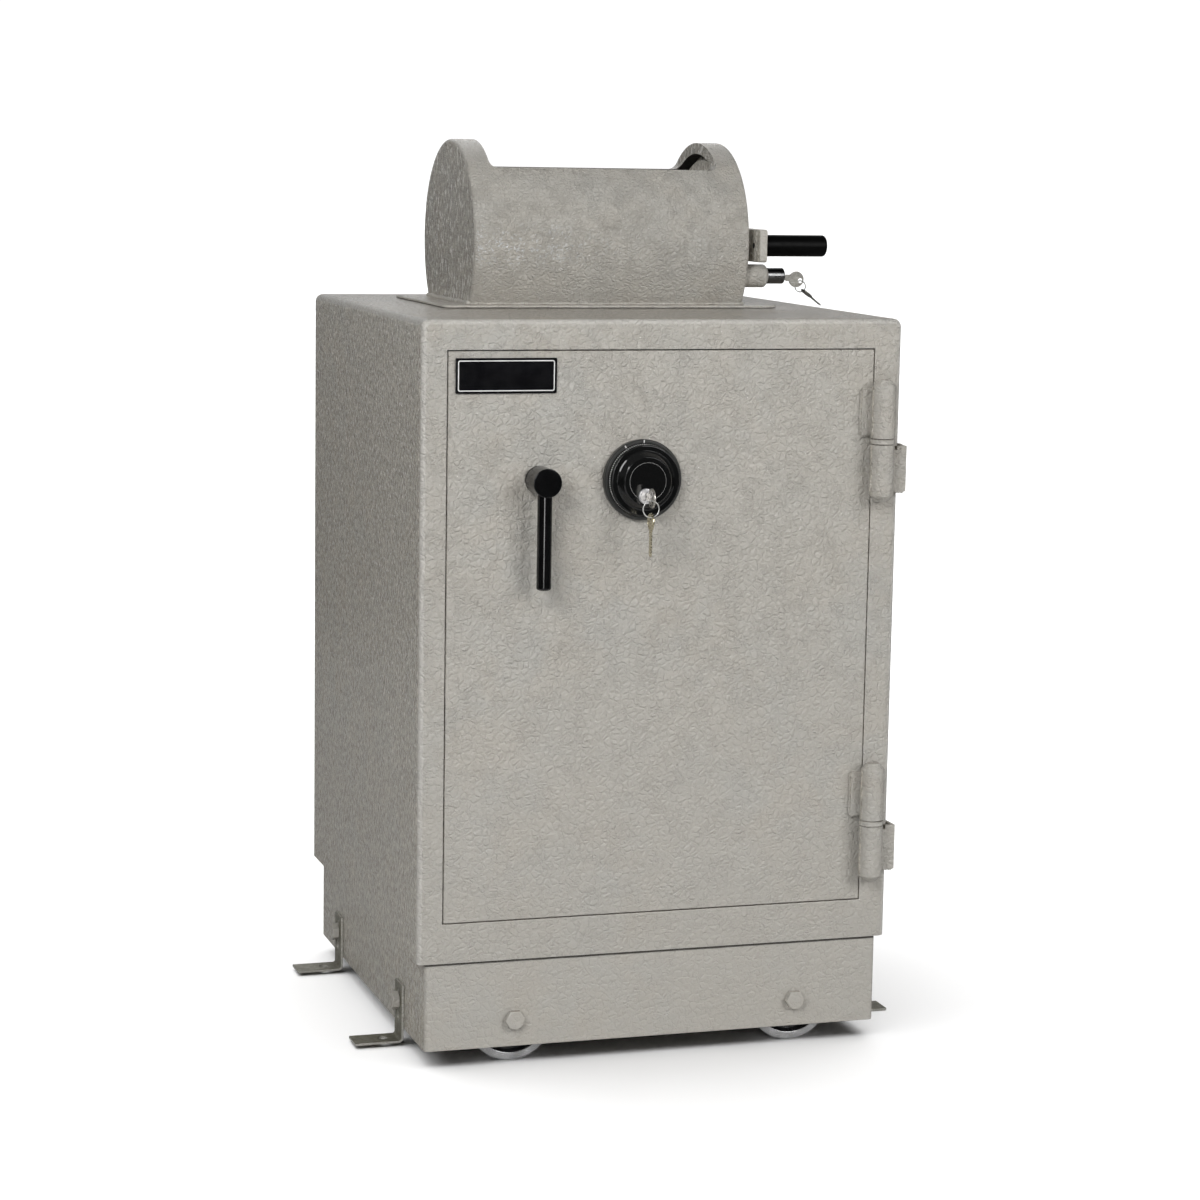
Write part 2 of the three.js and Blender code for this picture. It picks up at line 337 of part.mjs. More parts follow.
// Deposit lock: plug, key, the pin that it pushes into the drum, ring and spare key.
{
  const y = LOCK.y, z = LOCK.z;
  part('drum_lock_pin', cyl(4, HOP.x1 - HOP.plate + 0.6, 446.6, 'x', [0, y, z], 16, 0.6, 0), STEEL);
  part('deposit_lock_plug', cut(cyl(5.7, 471, 495.2, 'x', [0, y, z], 24), box(473, 500, y - 1.3, y + 1.3, z - 5, z + 4)), CHROME);
  const kz = 732.5;
  let k = prism(circlePts(511.8, kz, 9.3, 20), 'y', y - 1, y + 1);
  k = join(k, box(495.8, 505, y - 0.95, y + 0.95, z - 6, z + 1.5), box(474, 496.5, y - 0.95, y + 0.95, z - 4.6, z + 3.6));
  k = cut(k, cyl(2.9, y - 5, y + 5, 'y', [517, 0, 731], 16));
  part('deposit_key', k, KEY);
  const rc = new THREE.Vector3(517.2, y, 724.3), a = -40 * Math.PI / 180;
  const rg = new THREE.TorusGeometry(6.5, 0.6, 6, 18).rotateX(Math.PI / 2).rotateZ(a).translate(rc.x, rc.y, rc.z);
  part('deposit_key_ring', solid(rg), CHROME);
  // Spare key: hangs from the ring's lower right and leans with its tip just clear of the cabinet's top.
  const phi = -50 * Math.PI / 180;
  const at = rc.clone().add(new THREE.Vector3(Math.cos(phi) * Math.cos(a), Math.cos(phi) * Math.sin(a), Math.sin(phi)).multiplyScalar(6.5));
  let q = prism(circlePts(5, 0, 8, 24), 'z', -0.8, 0.8);
  q = join(q, prism([[11, -3], [27.5, -3], [29, 0], [27.5, 3], [11, 3]], 'z', -0.75, 0.75));
  q = cut(q, cyl(2.4, -4, 4, 'z', [0, 0, 0], 14));
  const slope = 38 * Math.PI / 180;
  const m = new THREE.Matrix4().makeBasis(new THREE.Vector3(Math.cos(slope), 0, -Math.sin(slope)), new THREE.Vector3(0, 1, 0), new THREE.Vector3(-Math.sin(slope), 0, -Math.cos(slope)).negate());
  m.setPosition(at);
  part('deposit_spare_key', solid(geometryOf(q).applyMatrix4(m)), KEY);
}

// Origin: middle of the footprint, at floor level.
const FRONT_Y = DIAL.face - 20 - 10.5;
root.position.set(-W / 2, -(FRONT_Y + D) / 2, -FLOOR);

export default root;
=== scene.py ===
"""Looks of the drop safe: painted plate-steel cabinet, door furniture, deposit hopper, plinth and anchors.

Lengths are in millimetres, measured from the cabinet's front bottom left corner, until piece() moves
them to the shared frame in metres.
"""
import json
import math
import random

import bmesh
import bpy
from mathutils import Matrix, Vector


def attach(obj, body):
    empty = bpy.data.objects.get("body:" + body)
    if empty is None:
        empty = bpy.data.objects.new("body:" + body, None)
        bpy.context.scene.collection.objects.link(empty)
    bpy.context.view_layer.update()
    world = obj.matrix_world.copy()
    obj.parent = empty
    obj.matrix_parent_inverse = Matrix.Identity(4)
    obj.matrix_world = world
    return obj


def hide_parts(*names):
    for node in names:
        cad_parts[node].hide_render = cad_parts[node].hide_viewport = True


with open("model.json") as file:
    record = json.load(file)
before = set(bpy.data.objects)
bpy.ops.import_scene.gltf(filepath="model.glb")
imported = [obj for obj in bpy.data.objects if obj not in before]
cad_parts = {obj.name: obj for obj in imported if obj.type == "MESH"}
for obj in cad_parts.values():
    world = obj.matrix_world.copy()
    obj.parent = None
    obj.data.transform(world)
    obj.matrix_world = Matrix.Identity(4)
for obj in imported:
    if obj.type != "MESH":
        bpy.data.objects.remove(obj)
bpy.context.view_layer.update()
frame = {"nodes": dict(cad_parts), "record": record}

random.seed(7)
PI = math.pi
scene = bpy.context.scene

# ---------------------------------------------------------------- dimensions, as in the CAD
W, D, H, T = 548.0, 540.0, 700.0, 6.35
EDGE_R, GAP, FLOOR = 9.0, 0.3, -118.5
DX0, DX1, DZ0, DZ1, DT = 29.4, 514.1, 45.0, 666.3, 12.7
PX0, PX1, PY0, PY1, PZ0, PT = 10.0, 538.0, 4.06, 526.3, -99.3, 6.0
WHEEL_R, WHEEL_X, AXLE_Z = 50.0, (111.5, 440.5), -68.5
BR_Y, BR_BOLT_Z = (112.0, 424.0), -69.5
AXY, AXZ = 330.0, 772.0
LOCKY, LOCKZ = 240.0, 736.5
HX, HY, HR = 521.3, -14.0, 13.4
HINGES = ((566.0, "top"), (136.0, "bottom"))
HANX, HANZ = 130.5, 528.0
DIX, DIZ = 246.0, 527.0
PLX, PLZ = 244.0, 511.0
SHIFT = Vector((-274.0, -242.75, 118.5))


# ---------------------------------------------------------------- mesh helpers
def fillet(points, n=5, closed=True):
    """Rounds the corners of an outline. A point is (u, v) or (u, v, radius)."""
    out = []
    count = len(points)
    for i, p in enumerate(points):
        r = p[2] if len(p) > 2 else 0
        if r <= 0 or (not closed and i in (0, count - 1)):
            out.append((p[0], p[1]))
            continue
        a, b, c = Vector(points[i - 1][:2]), Vector(p[:2]), Vector(points[(i + 1) % count][:2])
        d0, d1 = (a - b).normalized(), (c - b).normalized()
        half = d0.angle(d1) / 2
        if half > PI / 2 - 1e-3:
            out.append((p[0], p[1]))
            continue
        reach = r / math.tan(half)
        centre = b + (d0 + d1).normalized() * (r / math.sin(half))
        s, e = b + d0 * reach - centre, b + d1 * reach - centre
        a0 = math.atan2(s.y, s.x)
        turn = math.atan2(e.y, e.x) - a0
        while turn > PI:
            turn -= 2 * PI
        while turn < -PI:
            turn += 2 * PI
        for k in range(n + 1):
            t = a0 + turn * k / n
            out.append((centre.x + r * math.cos(t), centre.y + r * math.sin(t)))
    return out


def rect(x0, x1, y0, y1, r=0.0, n=5):
    return fillet([(x0, y0, r), (x1, y0, r), (x1, y1, r), (x0, y1, r)], n)


def ring_pts(cx, cy, r, n=24, a0=0.0):
    return [(cx + r * math.cos(a0 + 2 * PI * k / n), cy + r * math.sin(a0 + 2 * PI * k / n)) for k in range(n)]


def place(axis, u, v, t):
    """(u, v) across the axis and t along it: x takes (y, z), y takes (x, z), z takes (x, y)."""
    return {"x": (t, u, v), "y": (u, t, v), "z": (u, v, t)}[axis]


def finish_bm(bm):
    bmesh.ops.remove_doubles(bm, verts=bm.verts, dist=1e-4)
    bmesh.ops.recalc_face_normals(bm, faces=bm.faces)
    return bm


def box(x0, x1, y0, y1, z0, z1):
    bm = bmesh.new()
    bmesh.ops.create_cube(bm, size=1.0)
    for v in bm.verts:
        v.co = Vector((x0 + (v.co.x + 0.5) * (x1 - x0), y0 + (v.co.y + 0.5) * (y1 - y0), z0 + (v.co.z + 0.5) * (z1 - z0)))
    return finish_bm(bm)


def lathe(profile, axis, c=(0, 0, 0), seg=64, closed=False, phase=0.0):
    """Turned solid: (radius, position along the axis). It starts and ends on the axis, or closes on itself."""
    bm = bmesh.new()
    cu, cv = {"x": (c[1], c[2]), "y": (c[0], c[2]), "z": (c[0], c[1])}[axis]
    rings = []
    for r, t in profile:
        if r < 1e-6:
            rings.append([bm.verts.new(place(axis, cu, cv, t))])
        else:
            rings.append([bm.verts.new(place(axis, cu + r * math.cos(phase + 2 * PI * k / seg), cv + r * math.sin(phase + 2 * PI * k / seg), t)) for k in range(seg)])
    pairs = list(zip(rings, rings[1:])) + ([(rings[-1], rings[0])] if closed else [])
    for a, b in pairs:
        if len(a) == 1 and len(b) == 1:
            continue
        for k in range(seg):
            j = (k + 1) % seg
            if len(a) == 1:
                bm.faces.new((a[0], b[k], b[j]))
            elif len(b) == 1:
                bm.faces.new((a[k], a[j], b[0]))
            else:
                bm.faces.new((a[k], a[j], b[j], b[k]))
    return finish_bm(bm)


def cyl(r, a, b, axis, c=(0, 0, 0), seg=48, ca=0.0, cb=0.0, n=3, phase=0.0):
    """Cylinder from a to b with rounded rims of radius ca and cb."""
    p = fillet([(0, a), (r, a, ca), (r, b, cb), (0, b)], n, closed=False)
    return lathe(p, axis, c, seg, phase=phase)


def prism(points, axis, a, b):
    bm = bmesh.new()
    low = [bm.verts.new(place(axis, u, v, a)) for u, v in points]
    high = [bm.verts.new(place(axis, u, v, b)) for u, v in points]
    bm.faces.new(low)
    bm.faces.new(high)
    n = len(points)
    for i in range(n):
        j = (i + 1) % n
        bm.faces.new((low[i], low[j], high[j], high[i]))
    return finish_bm(bm)


def ring_prism(outer, inner, axis, a, b):
    """A prism with one hole; the two outlines have the same number of points, in step."""
    bm = bmesh.new()
    rows = [[bm.verts.new(place(axis, u, v, t)) for u, v in pts] for pts, t in ((outer, a), (outer, b), (inner, b), (inner, a))]
    n = len(outer)
    for k in range(4):
        p, q = rows[k], rows[(k + 1) % 4]
        for i in range(n):
            j = (i + 1) % n
            bm.faces.new((p[i], p[j], q[j], q[i]))
    return finish_bm(bm)


def torus(R, r, centre, normal, major=64, minor=14):
    bm = bmesh.new()
    nrm = Vector(normal).normalized()
    u = nrm.orthogonal().normalized()
    v = nrm.cross(u)
    rows = []
    for i in range(major):
        a = 2 * PI * i / major
        out = u * math.cos(a) + v * math.sin(a)
        rows.append([bm.verts.new(Vector(centre) + out * (R + r * math.cos(2 * PI * k / minor)) + nrm * (r * math.sin(2 * PI * k / minor))) for k in range(minor)])
    for i in range(major):
        p, q = rows[i], rows[(i + 1) % major]
        for k in range(minor):
            j = (k + 1) % minor
            bm.faces.new((p[k], p[j], q[j], q[k]))
    return finish_bm(bm)


def sweep(path, widths, up, sides=10, flat=1.0, closed=False):
    """A round bar of varying radius along a path; flat squashes it towards the surface whose normal is up."""
    bm = bmesh.new()
    upv = Vector(up).normalized()
    rows = []
    n = len(path)
    for i, p in enumerate(path):
        a = Vector(path[i - 1 if (closed or i) else 0])
        b = Vector(path[(i + 1) % n if (closed or i < n - 1) else n - 1])
        d = (b - a).normalized()
        side = d.cross(upv).normalized()
        u2 = side.cross(d).normalized()
        rows.append([bm.verts.new(Vector(p) + side * (widths[i] * math.cos(2 * PI * k / sides)) + u2 * (widths[i] * flat * math.sin(2 * PI * k / sides))) for k in range(sides)])
    last = n if closed else n - 1
    for i in range(last):
        p, q = rows[i], rows[(i + 1) % n]
        for k in range(sides):
            j = (k + 1) % sides
            bm.faces.new((p[k], p[j], q[j], q[k]))
    if not closed:
        bm.faces.new(rows[0])
        bm.faces.new(rows[-1])
    return finish_bm(bm)


def bead(a, b, r, up, flat=0.8, pitch=2.4, ripple=0.16, seed=1):
    """A weld run from a to b: ripples a few millimetres apart, uneven in width, with tapered ends."""
    rnd = random.Random(seed)
    a, b = Vector(a), Vector(b)
    length = (b - a).length
    steps = max(8, int(length / 0.6))
    phase, wob = rnd.uniform(0, 6), [rnd.uniform(0, 6) for _ in range(3)]
    path, widths = [], []
    for i in range(steps + 1):
        t = i / steps
        s = t * length
        w = 1 + ripple * math.cos(2 * PI * s / pitch + phase) + 0.14 * math.sin(s / 6.3 + wob[0]) + 0.08 * math.sin(s / 2.9 + wob[1])
        end = min(s, length - s) / (r * 1.1)
        w *= math.sqrt(max(0.06, 1 - (1 - min(1.0, end)) ** 2))
        path.append(a.lerp(b, t) + Vector(up).normalized() * (0.12 * r * math.sin(s / 4.1 + wob[2])))
        widths.append(r * w)
    return sweep(path, widths, up, 12, flat)


def to_obj(bm, name="tmp"):
    me = bpy.data.meshes.new(name)
    bm.to_mesh(me)
    bm.free()
    ob = bpy.data.objects.new(name, me)
    scene.collection.objects.link(ob)
    return ob


def apply_mods(ob):
    dg = bpy.context.evaluated_depsgraph_get()
    me = bpy.data.meshes.new_from_object(ob.evaluated_get(dg), depsgraph=dg)
    old = ob.data
    ob.modifiers.clear()
    ob.data = me
    bpy.data.meshes.remove(old)
    return ob


def combine(base, tools, op):
    """Boolean of bmeshes, exact. Takes and returns bmeshes."""
    ob = to_obj(base)
    for t in tools:
        to = to_obj(t, "tool")
        m = ob.modifiers.new("b", "BOOLEAN")
        m.object, m.operation, m.solver = to, op, "EXACT"
        apply_mods(ob)
        me = to.data
        bpy.data.objects.remove(to)
        bpy.data.meshes.remove(me)
    bm = bmesh.new()
    bm.from_mesh(ob.data)
    me = ob.data
    bpy.data.objects.remove(ob)
    bpy.data.meshes.remove(me)
    bmesh.ops.remove_doubles(bm, verts=bm.verts, dist=1e-3)
    bmesh.ops.dissolve_degenerate(bm, edges=bm.edges, dist=1e-3)
    return bm


def cut(base, *tools):
    return combine(base, tools, "DIFFERENCE")


def join(base, *tools):
    return combine(base, tools, "UNION")


def both(base, *tools):
    return combine(base, tools, "INTERSECT")


def edges_where(bm, test, angle=25):
    out = []
    for e in bm.edges:
        if len(e.link_faces) != 2:
            continue
        if e.calc_face_angle(0) < math.radians(angle):
            continue
        if test((e.verts[0].co + e.verts[1].co) / 2, (e.verts[1].co - e.verts[0].co).normalized()):
            out.append(e)
    return out


def round_edges(bm, width, seg=3, test=lambda m, d: True, angle=25):
    """Rounds the sharp edges that pass the test, by width."""
    bmesh.ops.dissolve_limit(bm, angle_limit=math.radians(0.2), verts=bm.verts, edges=bm.edges)
    edges = edges_where(bm, test, angle)
    if edges:
        bmesh.ops.bevel(bm, geom=edges, offset=width, offset_type="OFFSET", segments=seg, profile=0.5, affect="EDGES", clamp_overlap=True)
    return bm


def merge(*parts):
    """Several closed shells in one mesh."""
    out = bmesh.new()
    for p in parts:
        me = bpy.data.meshes.new("m")
        p.to_mesh(me)
        p.free()
        out.from_mesh(me)
        bpy.data.meshes.remove(me)
    return out


def paint_faces(bm, test, index):
    for f in bm.faces:
        if test(f.calc_center_median(), f.normal):
            f.material_index = index
    return bm


def piece(name, bm, mats, body, replaces=(), sharp=38, flat_faces=True):
    """Turns a bmesh in millimetres into a finished object in the shared frame, riding on its body."""
    bm.normal_update()
    for f in bm.faces:
        f.smooth = True
    for e in bm.edges:
        e.smooth = not (len(e.link_faces) == 2 and e.calc_face_angle(0) > math.radians(sharp))
    for v in bm.verts:
        v.co = (v.co + SHIFT) * 0.001
    ob = to_obj(bm, name)
    ob.data.name = name
    for m in mats if isinstance(mats, (list, tuple)) else [mats]:
        ob.data.materials.append(m)
    if flat_faces:
        w = ob.modifiers.new("normals", "WEIGHTED_NORMAL")
        w.keep_sharp, w.weight = True, 60
    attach(ob, body)
    if replaces:
        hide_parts(*([replaces] if isinstance(replaces, str) else replaces))
    return ob


# ---------------------------------------------------------------- materials
class Net:
    """Small helper to write a node tree in order."""

    def __init__(self, name):
        self.mat = bpy.data.materials.new(name)
        self.mat.use_nodes = True
        self.t = self.mat.node_tree
        self.t.nodes.clear()
        self.out = self.t.nodes.new("ShaderNodeOutputMaterial")
        self.bsdf = self.t.nodes.new("ShaderNodeBsdfPrincipled")
        self.t.links.new(self.bsdf.outputs[0], self.out.inputs[0])
        self.co = self.t.nodes.new("ShaderNodeTexCoord").outputs["Object"]

    def put(self, socket, value):
        if value is None:
            return
        if isinstance(value, bpy.types.NodeSocket):
            self.t.links.new(value, socket)
        else:
            socket.default_value = value

    def node(self, kind, inputs=None, **props):
        n = self.t.nodes.new(kind)
        for k, v in props.items():
            setattr(n, k, v)
        for k, v in (inputs or {}).items():
            self.put(n.inputs[k], v)
        return n

    def math(self, op, a, b=None, c=None, clamp=False):
        n = self.node("ShaderNodeMath", {0: a}, operation=op, use_clamp=clamp)
        if b is not None:
            self.put(n.inputs[1], b)
        if c is not None:
            self.put(n.inputs[2], c)
        return n.outputs[0]

    def vmath(self, op, a, b=None, scale=None):
        n = self.node("ShaderNodeVectorMath", {0: a}, operation=op)
        if b is not None:
            self.put(n.inputs[1], b)
        if scale is not None:
            self.put(n.inputs["Scale"], scale)
        return n.outputs[0]

    def noise(self, scale, detail=2.0, rough=0.5, co=None, distortion=0.0, color=False):
        n = self.node("ShaderNodeTexNoise", {"Vector": co or self.co, "Scale": scale, "Detail": detail, "Roughness": rough, "Distortion": distortion})
        return n.outputs["Color" if color else "Fac"]

    def voronoi(self, scale, co=None, feature="F1", smooth=None, rand=1.0):
        n = self.node("ShaderNodeTexVoronoi", {"Vector": co or self.co, "Scale": scale, "Randomness": rand}, feature=feature)
        if smooth is not None and feature == "SMOOTH_F1":
            n.inputs["Smoothness"].default_value = smooth
        return n.outputs["Distance"]

    def ramp(self, fac, lo, hi, a=0.0, b=1.0, smooth=True):
        n = self.node("ShaderNodeMapRange", {"Value": fac, "From Min": lo, "From Max": hi, "To Min": a, "To Max": b})
        n.interpolation_type = "SMOOTHSTEP" if smooth else "LINEAR"
        return n.outputs[0]

    def mix(self, fac, a, b, blend="MIX"):
        n = self.node("ShaderNodeMix", data_type="RGBA", blend_type=blend)
        self.put(n.inputs["Factor"], fac)
        self.put(n.inputs[6], a)
        self.put(n.inputs[7], b)
        return n.outputs[2]

    def bump(self, height, strength, distance, normal=None):
        n = self.node("ShaderNodeBump", {"Height": height, "Strength": strength, "Distance": distance})
        if normal is not None:
            self.put(n.inputs["Normal"], normal)
        return n.outputs[0]

    def shade(self, **kw):
        names = {"color": "Base Color", "rough": "Roughness", "metal": "Metallic", "normal": "Normal", "spec": "Specular IOR Level",
                 "coat": "Coat Weight", "coat_rough": "Coat Roughness", "ior": "IOR"}
        for k, v in kw.items():
            self.put(self.bsdf.inputs[names[k]], v)
        return self.mat


def rgb(r, g, b):
    """Display colour 0-255 to linear."""
    def lin(c):
        c /= 255.0
        return c / 12.92 if c <= 0.04045 else ((c + 0.055) / 1.055) ** 2.4
    return (lin(r), lin(g), lin(b), 1.0)


def make_paint(name, relief=1.0, base=(187, 183, 175), seam=None, finer=1.0, edge=0.0, coarse=1.0, glint_flecks=0.0):
    """Wrinkle enamel: leathery swells a few millimetres across, fine broken creases between them, and pin-point glints.

    The coat is thicker and coarser higher up. The left-hand walls carry upright streaks of painted light and shade,
    standing in for the wrinkles under raking light.
    """
    n = Net(name)
    warp = n.vmath("SUBTRACT", n.noise(105, 3, 0.6, color=True), (0.5, 0.5, 0.5))
    co = n.vmath("ADD", n.co, n.vmath("SCALE", warp, scale=0.0075))
    crease = n.voronoi(132 * finer, co, "DISTANCE_TO_EDGE")
    fine = n.voronoi(290 * finer, co, "DISTANCE_TO_EDGE")
    patch = n.math("ADD", n.math("MULTIPLY", n.ramp(n.noise(48, 2, 0.5), 0.40, 0.62), 0.8), 0.2)
    swell = n.noise(215 * finer, 4, 0.64, co, 0.6)
    height = n.math("ADD", n.math("MULTIPLY", n.ramp(crease, 0.0, 0.24), 0.5), n.math("MULTIPLY", swell, 1.15))
    height = n.math("ADD", height, n.math("MULTIPLY", n.math("MULTIPLY", n.ramp(fine, 0.0, 0.26), patch), 0.35))
    height = n.math("ADD", height, n.math("MULTIPLY", n.noise(700, 3, 0.6), 0.42))
    up = n.node("ShaderNodeSeparateXYZ", {0: n.co}).outputs[2]
    depth = n.math("MULTIPLY", n.ramp(up, 0.10, 0.68, 0.68, 1.12), 0.00145 * relief)
    normal = n.bump(height, 1.0, depth)
    c0 = rgb(*base)
    warm = rgb(base[0] + 2, base[1], base[2] - 2)
    cool = rgb(base[0] - 2, base[1], base[2] + 2)
    tone = n.mix(n.ramp(n.noise(19, 3, 0.55), 0.3, 0.7), warm, cool)
    tone = n.mix(n.ramp(n.noise(5.5, 2, 0.5), 0.3, 0.7, 0.3, 0.9), tone, c0)
    # Crease lines darkened in the colour: painted shade in the creases, together with dirt lodged in them.
    dark = n.mix(1.0, tone, (0.60, 0.59, 0.57, 1), "MULTIPLY")
    gap = n.math("MULTIPLY", n.ramp(crease, 0.0, 0.05, 1.0, 0.0), n.ramp(n.noise(80, 2, 0.5), 0.46, 0.60))
    color = n.mix(n.math("MULTIPLY", gap, 0.34), tone, dark)
    # Pin-point glints painted into the colour as light dots: painted highlights, more of them higher up and none on
    # faces turned left or right.
    glint_dots = n.math("MULTIPLY", n.ramp(n.voronoi(170, n.co), 0.06, 0.13, 1.0, 0.0), n.ramp(n.noise(70, 2, 0.5), 0.50, 0.58))
    facing = n.node("ShaderNodeSeparateXYZ", {0: n.node("ShaderNodeTexCoord").outputs["Normal"]})
    nx, ny, nz = (n.math("ABSOLUTE", facing.outputs[k]) for k in range(3))
    side = n.ramp(n.math("MULTIPLY", facing.outputs[0], -1.0), 0.93, 0.995)
    glint_dots = n.math("MULTIPLY", glint_dots, n.ramp(up, 0.25, 0.70, 0.15, 1.0))
    glint_dots = n.math("MULTIPLY", glint_dots, n.ramp(nx, 0.6, 0.95, 1.0, 0.0))
    color = n.mix(n.math("MULTIPLY", glint_dots, 0.75), color, (0.86, 0.85, 0.82, 1))
    # Upright streaks on the left-hand walls: painted light and shade standing in for the wrinkles under raking light.
    raking_shade_streaks = n.node("ShaderNodeMapping", {"Vector": co, "Scale": (200 * coarse, 340 * coarse, 145 * coarse)})
    level = 0.84 if coarse < 1 else 1.0
    raking_shade_streaks = n.ramp(n.noise(1.0, 3, 0.6, raking_shade_streaks.outputs[0]), 0.36, 0.64, 0.74 * level, 1.40 * level, smooth=False)
    raking_shade_streaks = n.node("ShaderNodeCombineXYZ", {0: raking_shade_streaks, 1: n.math("MULTIPLY", raking_shade_streaks, 0.985), 2: n.math("MULTIPLY", raking_shade_streaks, 0.95)}).outputs[0]
    color = n.mix(side, color, n.mix(1.0, color, raking_shade_streaks, "MULTIPLY"))
    # Light flecks on the left-hand walls, more of them higher up: painted glints.
    side_glints = n.node("ShaderNodeMapping", {"Vector": n.co, "Location": (3.1, 1.7, 0.4), "Scale": (230 * coarse, 330 * coarse, 190 * coarse)})
    side_glints = n.ramp(n.noise(1.0, 1, 0.5, side_glints.outputs[0]), 0.60, 0.65)
    side_glints = n.math("MULTIPLY", n.math("MULTIPLY", side_glints, side), n.ramp(up, 0.05, 0.60, 0.35, 0.85))
    color = n.mix(side_glints, color, (0.86, 0.84, 0.79, 1))
    # Streaks on faces turned up or down, darker on average: painted shade of the wrinkles seen at a grazing view.
    flat = n.node("ShaderNodeMapping", {"Vector": co, "Scale": (330, 130, 260)})
    flat = n.ramp(n.noise(1.0, 3, 0.6, flat.outputs[0]), 0.34, 0.66, 0.77, 1.07, smooth=False)
    flat = n.node("ShaderNodeCombineXYZ", {0: flat, 1: n.math("MULTIPLY", flat, 0.98), 2: n.math("MULTIPLY", flat, 0.95)}).outputs[0]
    color = n.mix(n.ramp(nz, 0.93, 0.995), color, n.mix(1.0, color, flat, "MULTIPLY"))
    if glint_flecks:
        # Painted highlight: bright flecks painted along the middle of the round casing's front, as a glint band,
        # thinning out towards its right end.
        spots = n.math("MULTIPLY", n.ramp(n.noise(430, 2, 0.5, co), 0.52, 0.62), n.ramp(n.noise(120, 2, 0.5), 0.36, 0.58))
        east = n.node("ShaderNodeSeparateXYZ", {0: n.co}).outputs[0]
        band = n.math("MULTIPLY", n.ramp(up, 0.850, 0.885), n.ramp(up, 0.890, 0.925, 1.0, 0.0))
        band = n.math("MULTIPLY", n.math("MULTIPLY", band, n.ramp(east, -0.13, 0.06, 1.0, 0.12)), n.ramp(ny, 0.80, 0.97))
        color = n.mix(n.math("MULTIPLY", n.math("MULTIPLY", spots, band), glint_flecks), color, (0.80, 0.83, 0.86, 1))
    # Lighter colour on rounded edges where two faces meet: a painted highlight.
    if edge:
        edge_highlight = n.math("ADD", n.math("MULTIPLY", nx, ny), n.math("MULTIPLY", ny, nz))
        edge_highlight = n.ramp(edge_highlight, 0.28, 0.50)
        color = n.mix(n.math("MULTIPLY", edge_highlight, edge), color, (0.80, 0.78, 0.74, 1))
    # Painted shadow: a thin near-black line at the seam heights, for the shade in the gap between two parts.
    if seam:
        line = n.math("ADD", up, n.math("MULTIPLY", n.math("SUBTRACT", n.noise(45, 3, 0.6), 0.5), 0.0012))
        gap_shadow = n.math("MULTIPLY", n.ramp(line, seam[0], seam[1]), n.ramp(line, seam[2], seam[3], 1.0, 0.0))
        color = n.mix(n.math("MULTIPLY", gap_shadow, 0.90), color, (0.03, 0.027, 0.023, 1))
    # Painted light: the colour is multiplied darker low down and lighter high up.
    height_light = n.ramp(up, 0.05, 0.80, 0.925, 1.065, smooth=False)
    height_light = n.node("ShaderNodeCombineXYZ", {0: height_light, 1: height_light, 2: height_light}).outputs[0]
    color = n.mix(1.0, color, height_light, "MULTIPLY")
    rough = n.ramp(n.noise(300, 3, 0.6), 0.3, 0.7, 0.14, 0.27)
    return n.shade(color=color, rough=rough, normal=normal, spec=0.5)


def make_metal(name, color, tint, rough=(0.2, 0.35), scale=60, lines=None, bump=0.15, metal=1.0, scratch=0.0):
    """Bare or plated metal: patchy colour and gloss, optional machining lines along one axis direction."""
    n = Net(name)
    patch = n.noise(scale, 4, 0.6)
    c = n.mix(n.ramp(patch, 0.3, 0.7), color, tint)
    height = n.noise(scale * 12, 3, 0.6)
    if lines is not None:
        n2 = n.node("ShaderNodeMapping", {"Vector": n.co, "Scale": lines})
        height = n.noise(1.0, 4, 0.65, n2.outputs[0])
    r = n.ramp(n.noise(scale * 2.3, 4, 0.6), 0.3, 0.7, rough[0], rough[1])
    if scratch:
        line = n.node("ShaderNodeMapping", {"Vector": n.co, "Rotation": (0.4, 0.9, 0.3), "Scale": (90, 2600, 2600)})
        s = n.ramp(n.noise(1.0, 2, 0.5, line.outputs[0]), 0.66, 0.72)
        c = n.mix(n.math("MULTIPLY", s, scratch), c, (0.9, 0.9, 0.88, 1))
        r = n.math("ADD", r, n.math("MULTIPLY", s, 0.12))
    return n.shade(color=c, rough=r, metal=metal, normal=n.bump(height, bump, 0.0002))


def make_black(name, base, rough, peel=0.05, scale=260, spec=0.5):
    """Black enamel or moulding with a faint orange peel and dust."""
    n = Net(name)
    c = n.mix(n.ramp(n.noise(40, 4, 0.6), 0.35, 0.75), base, tuple(min(1, x * 1.6) for x in base[:3]) + (1,))
    dust = n.ramp(n.noise(1900, 2, 0.5), 0.72, 0.80)
    c = n.mix(n.math("MULTIPLY", dust, 0.05), c, (0.16, 0.16, 0.155, 1))
    r = n.ramp(n.noise(70, 3, 0.6), 0.3, 0.7, rough[0], rough[1])
    return n.shade(color=c, rough=r, spec=spec, normal=n.bump(n.noise(scale, 2, 0.5), peel, 0.0004))


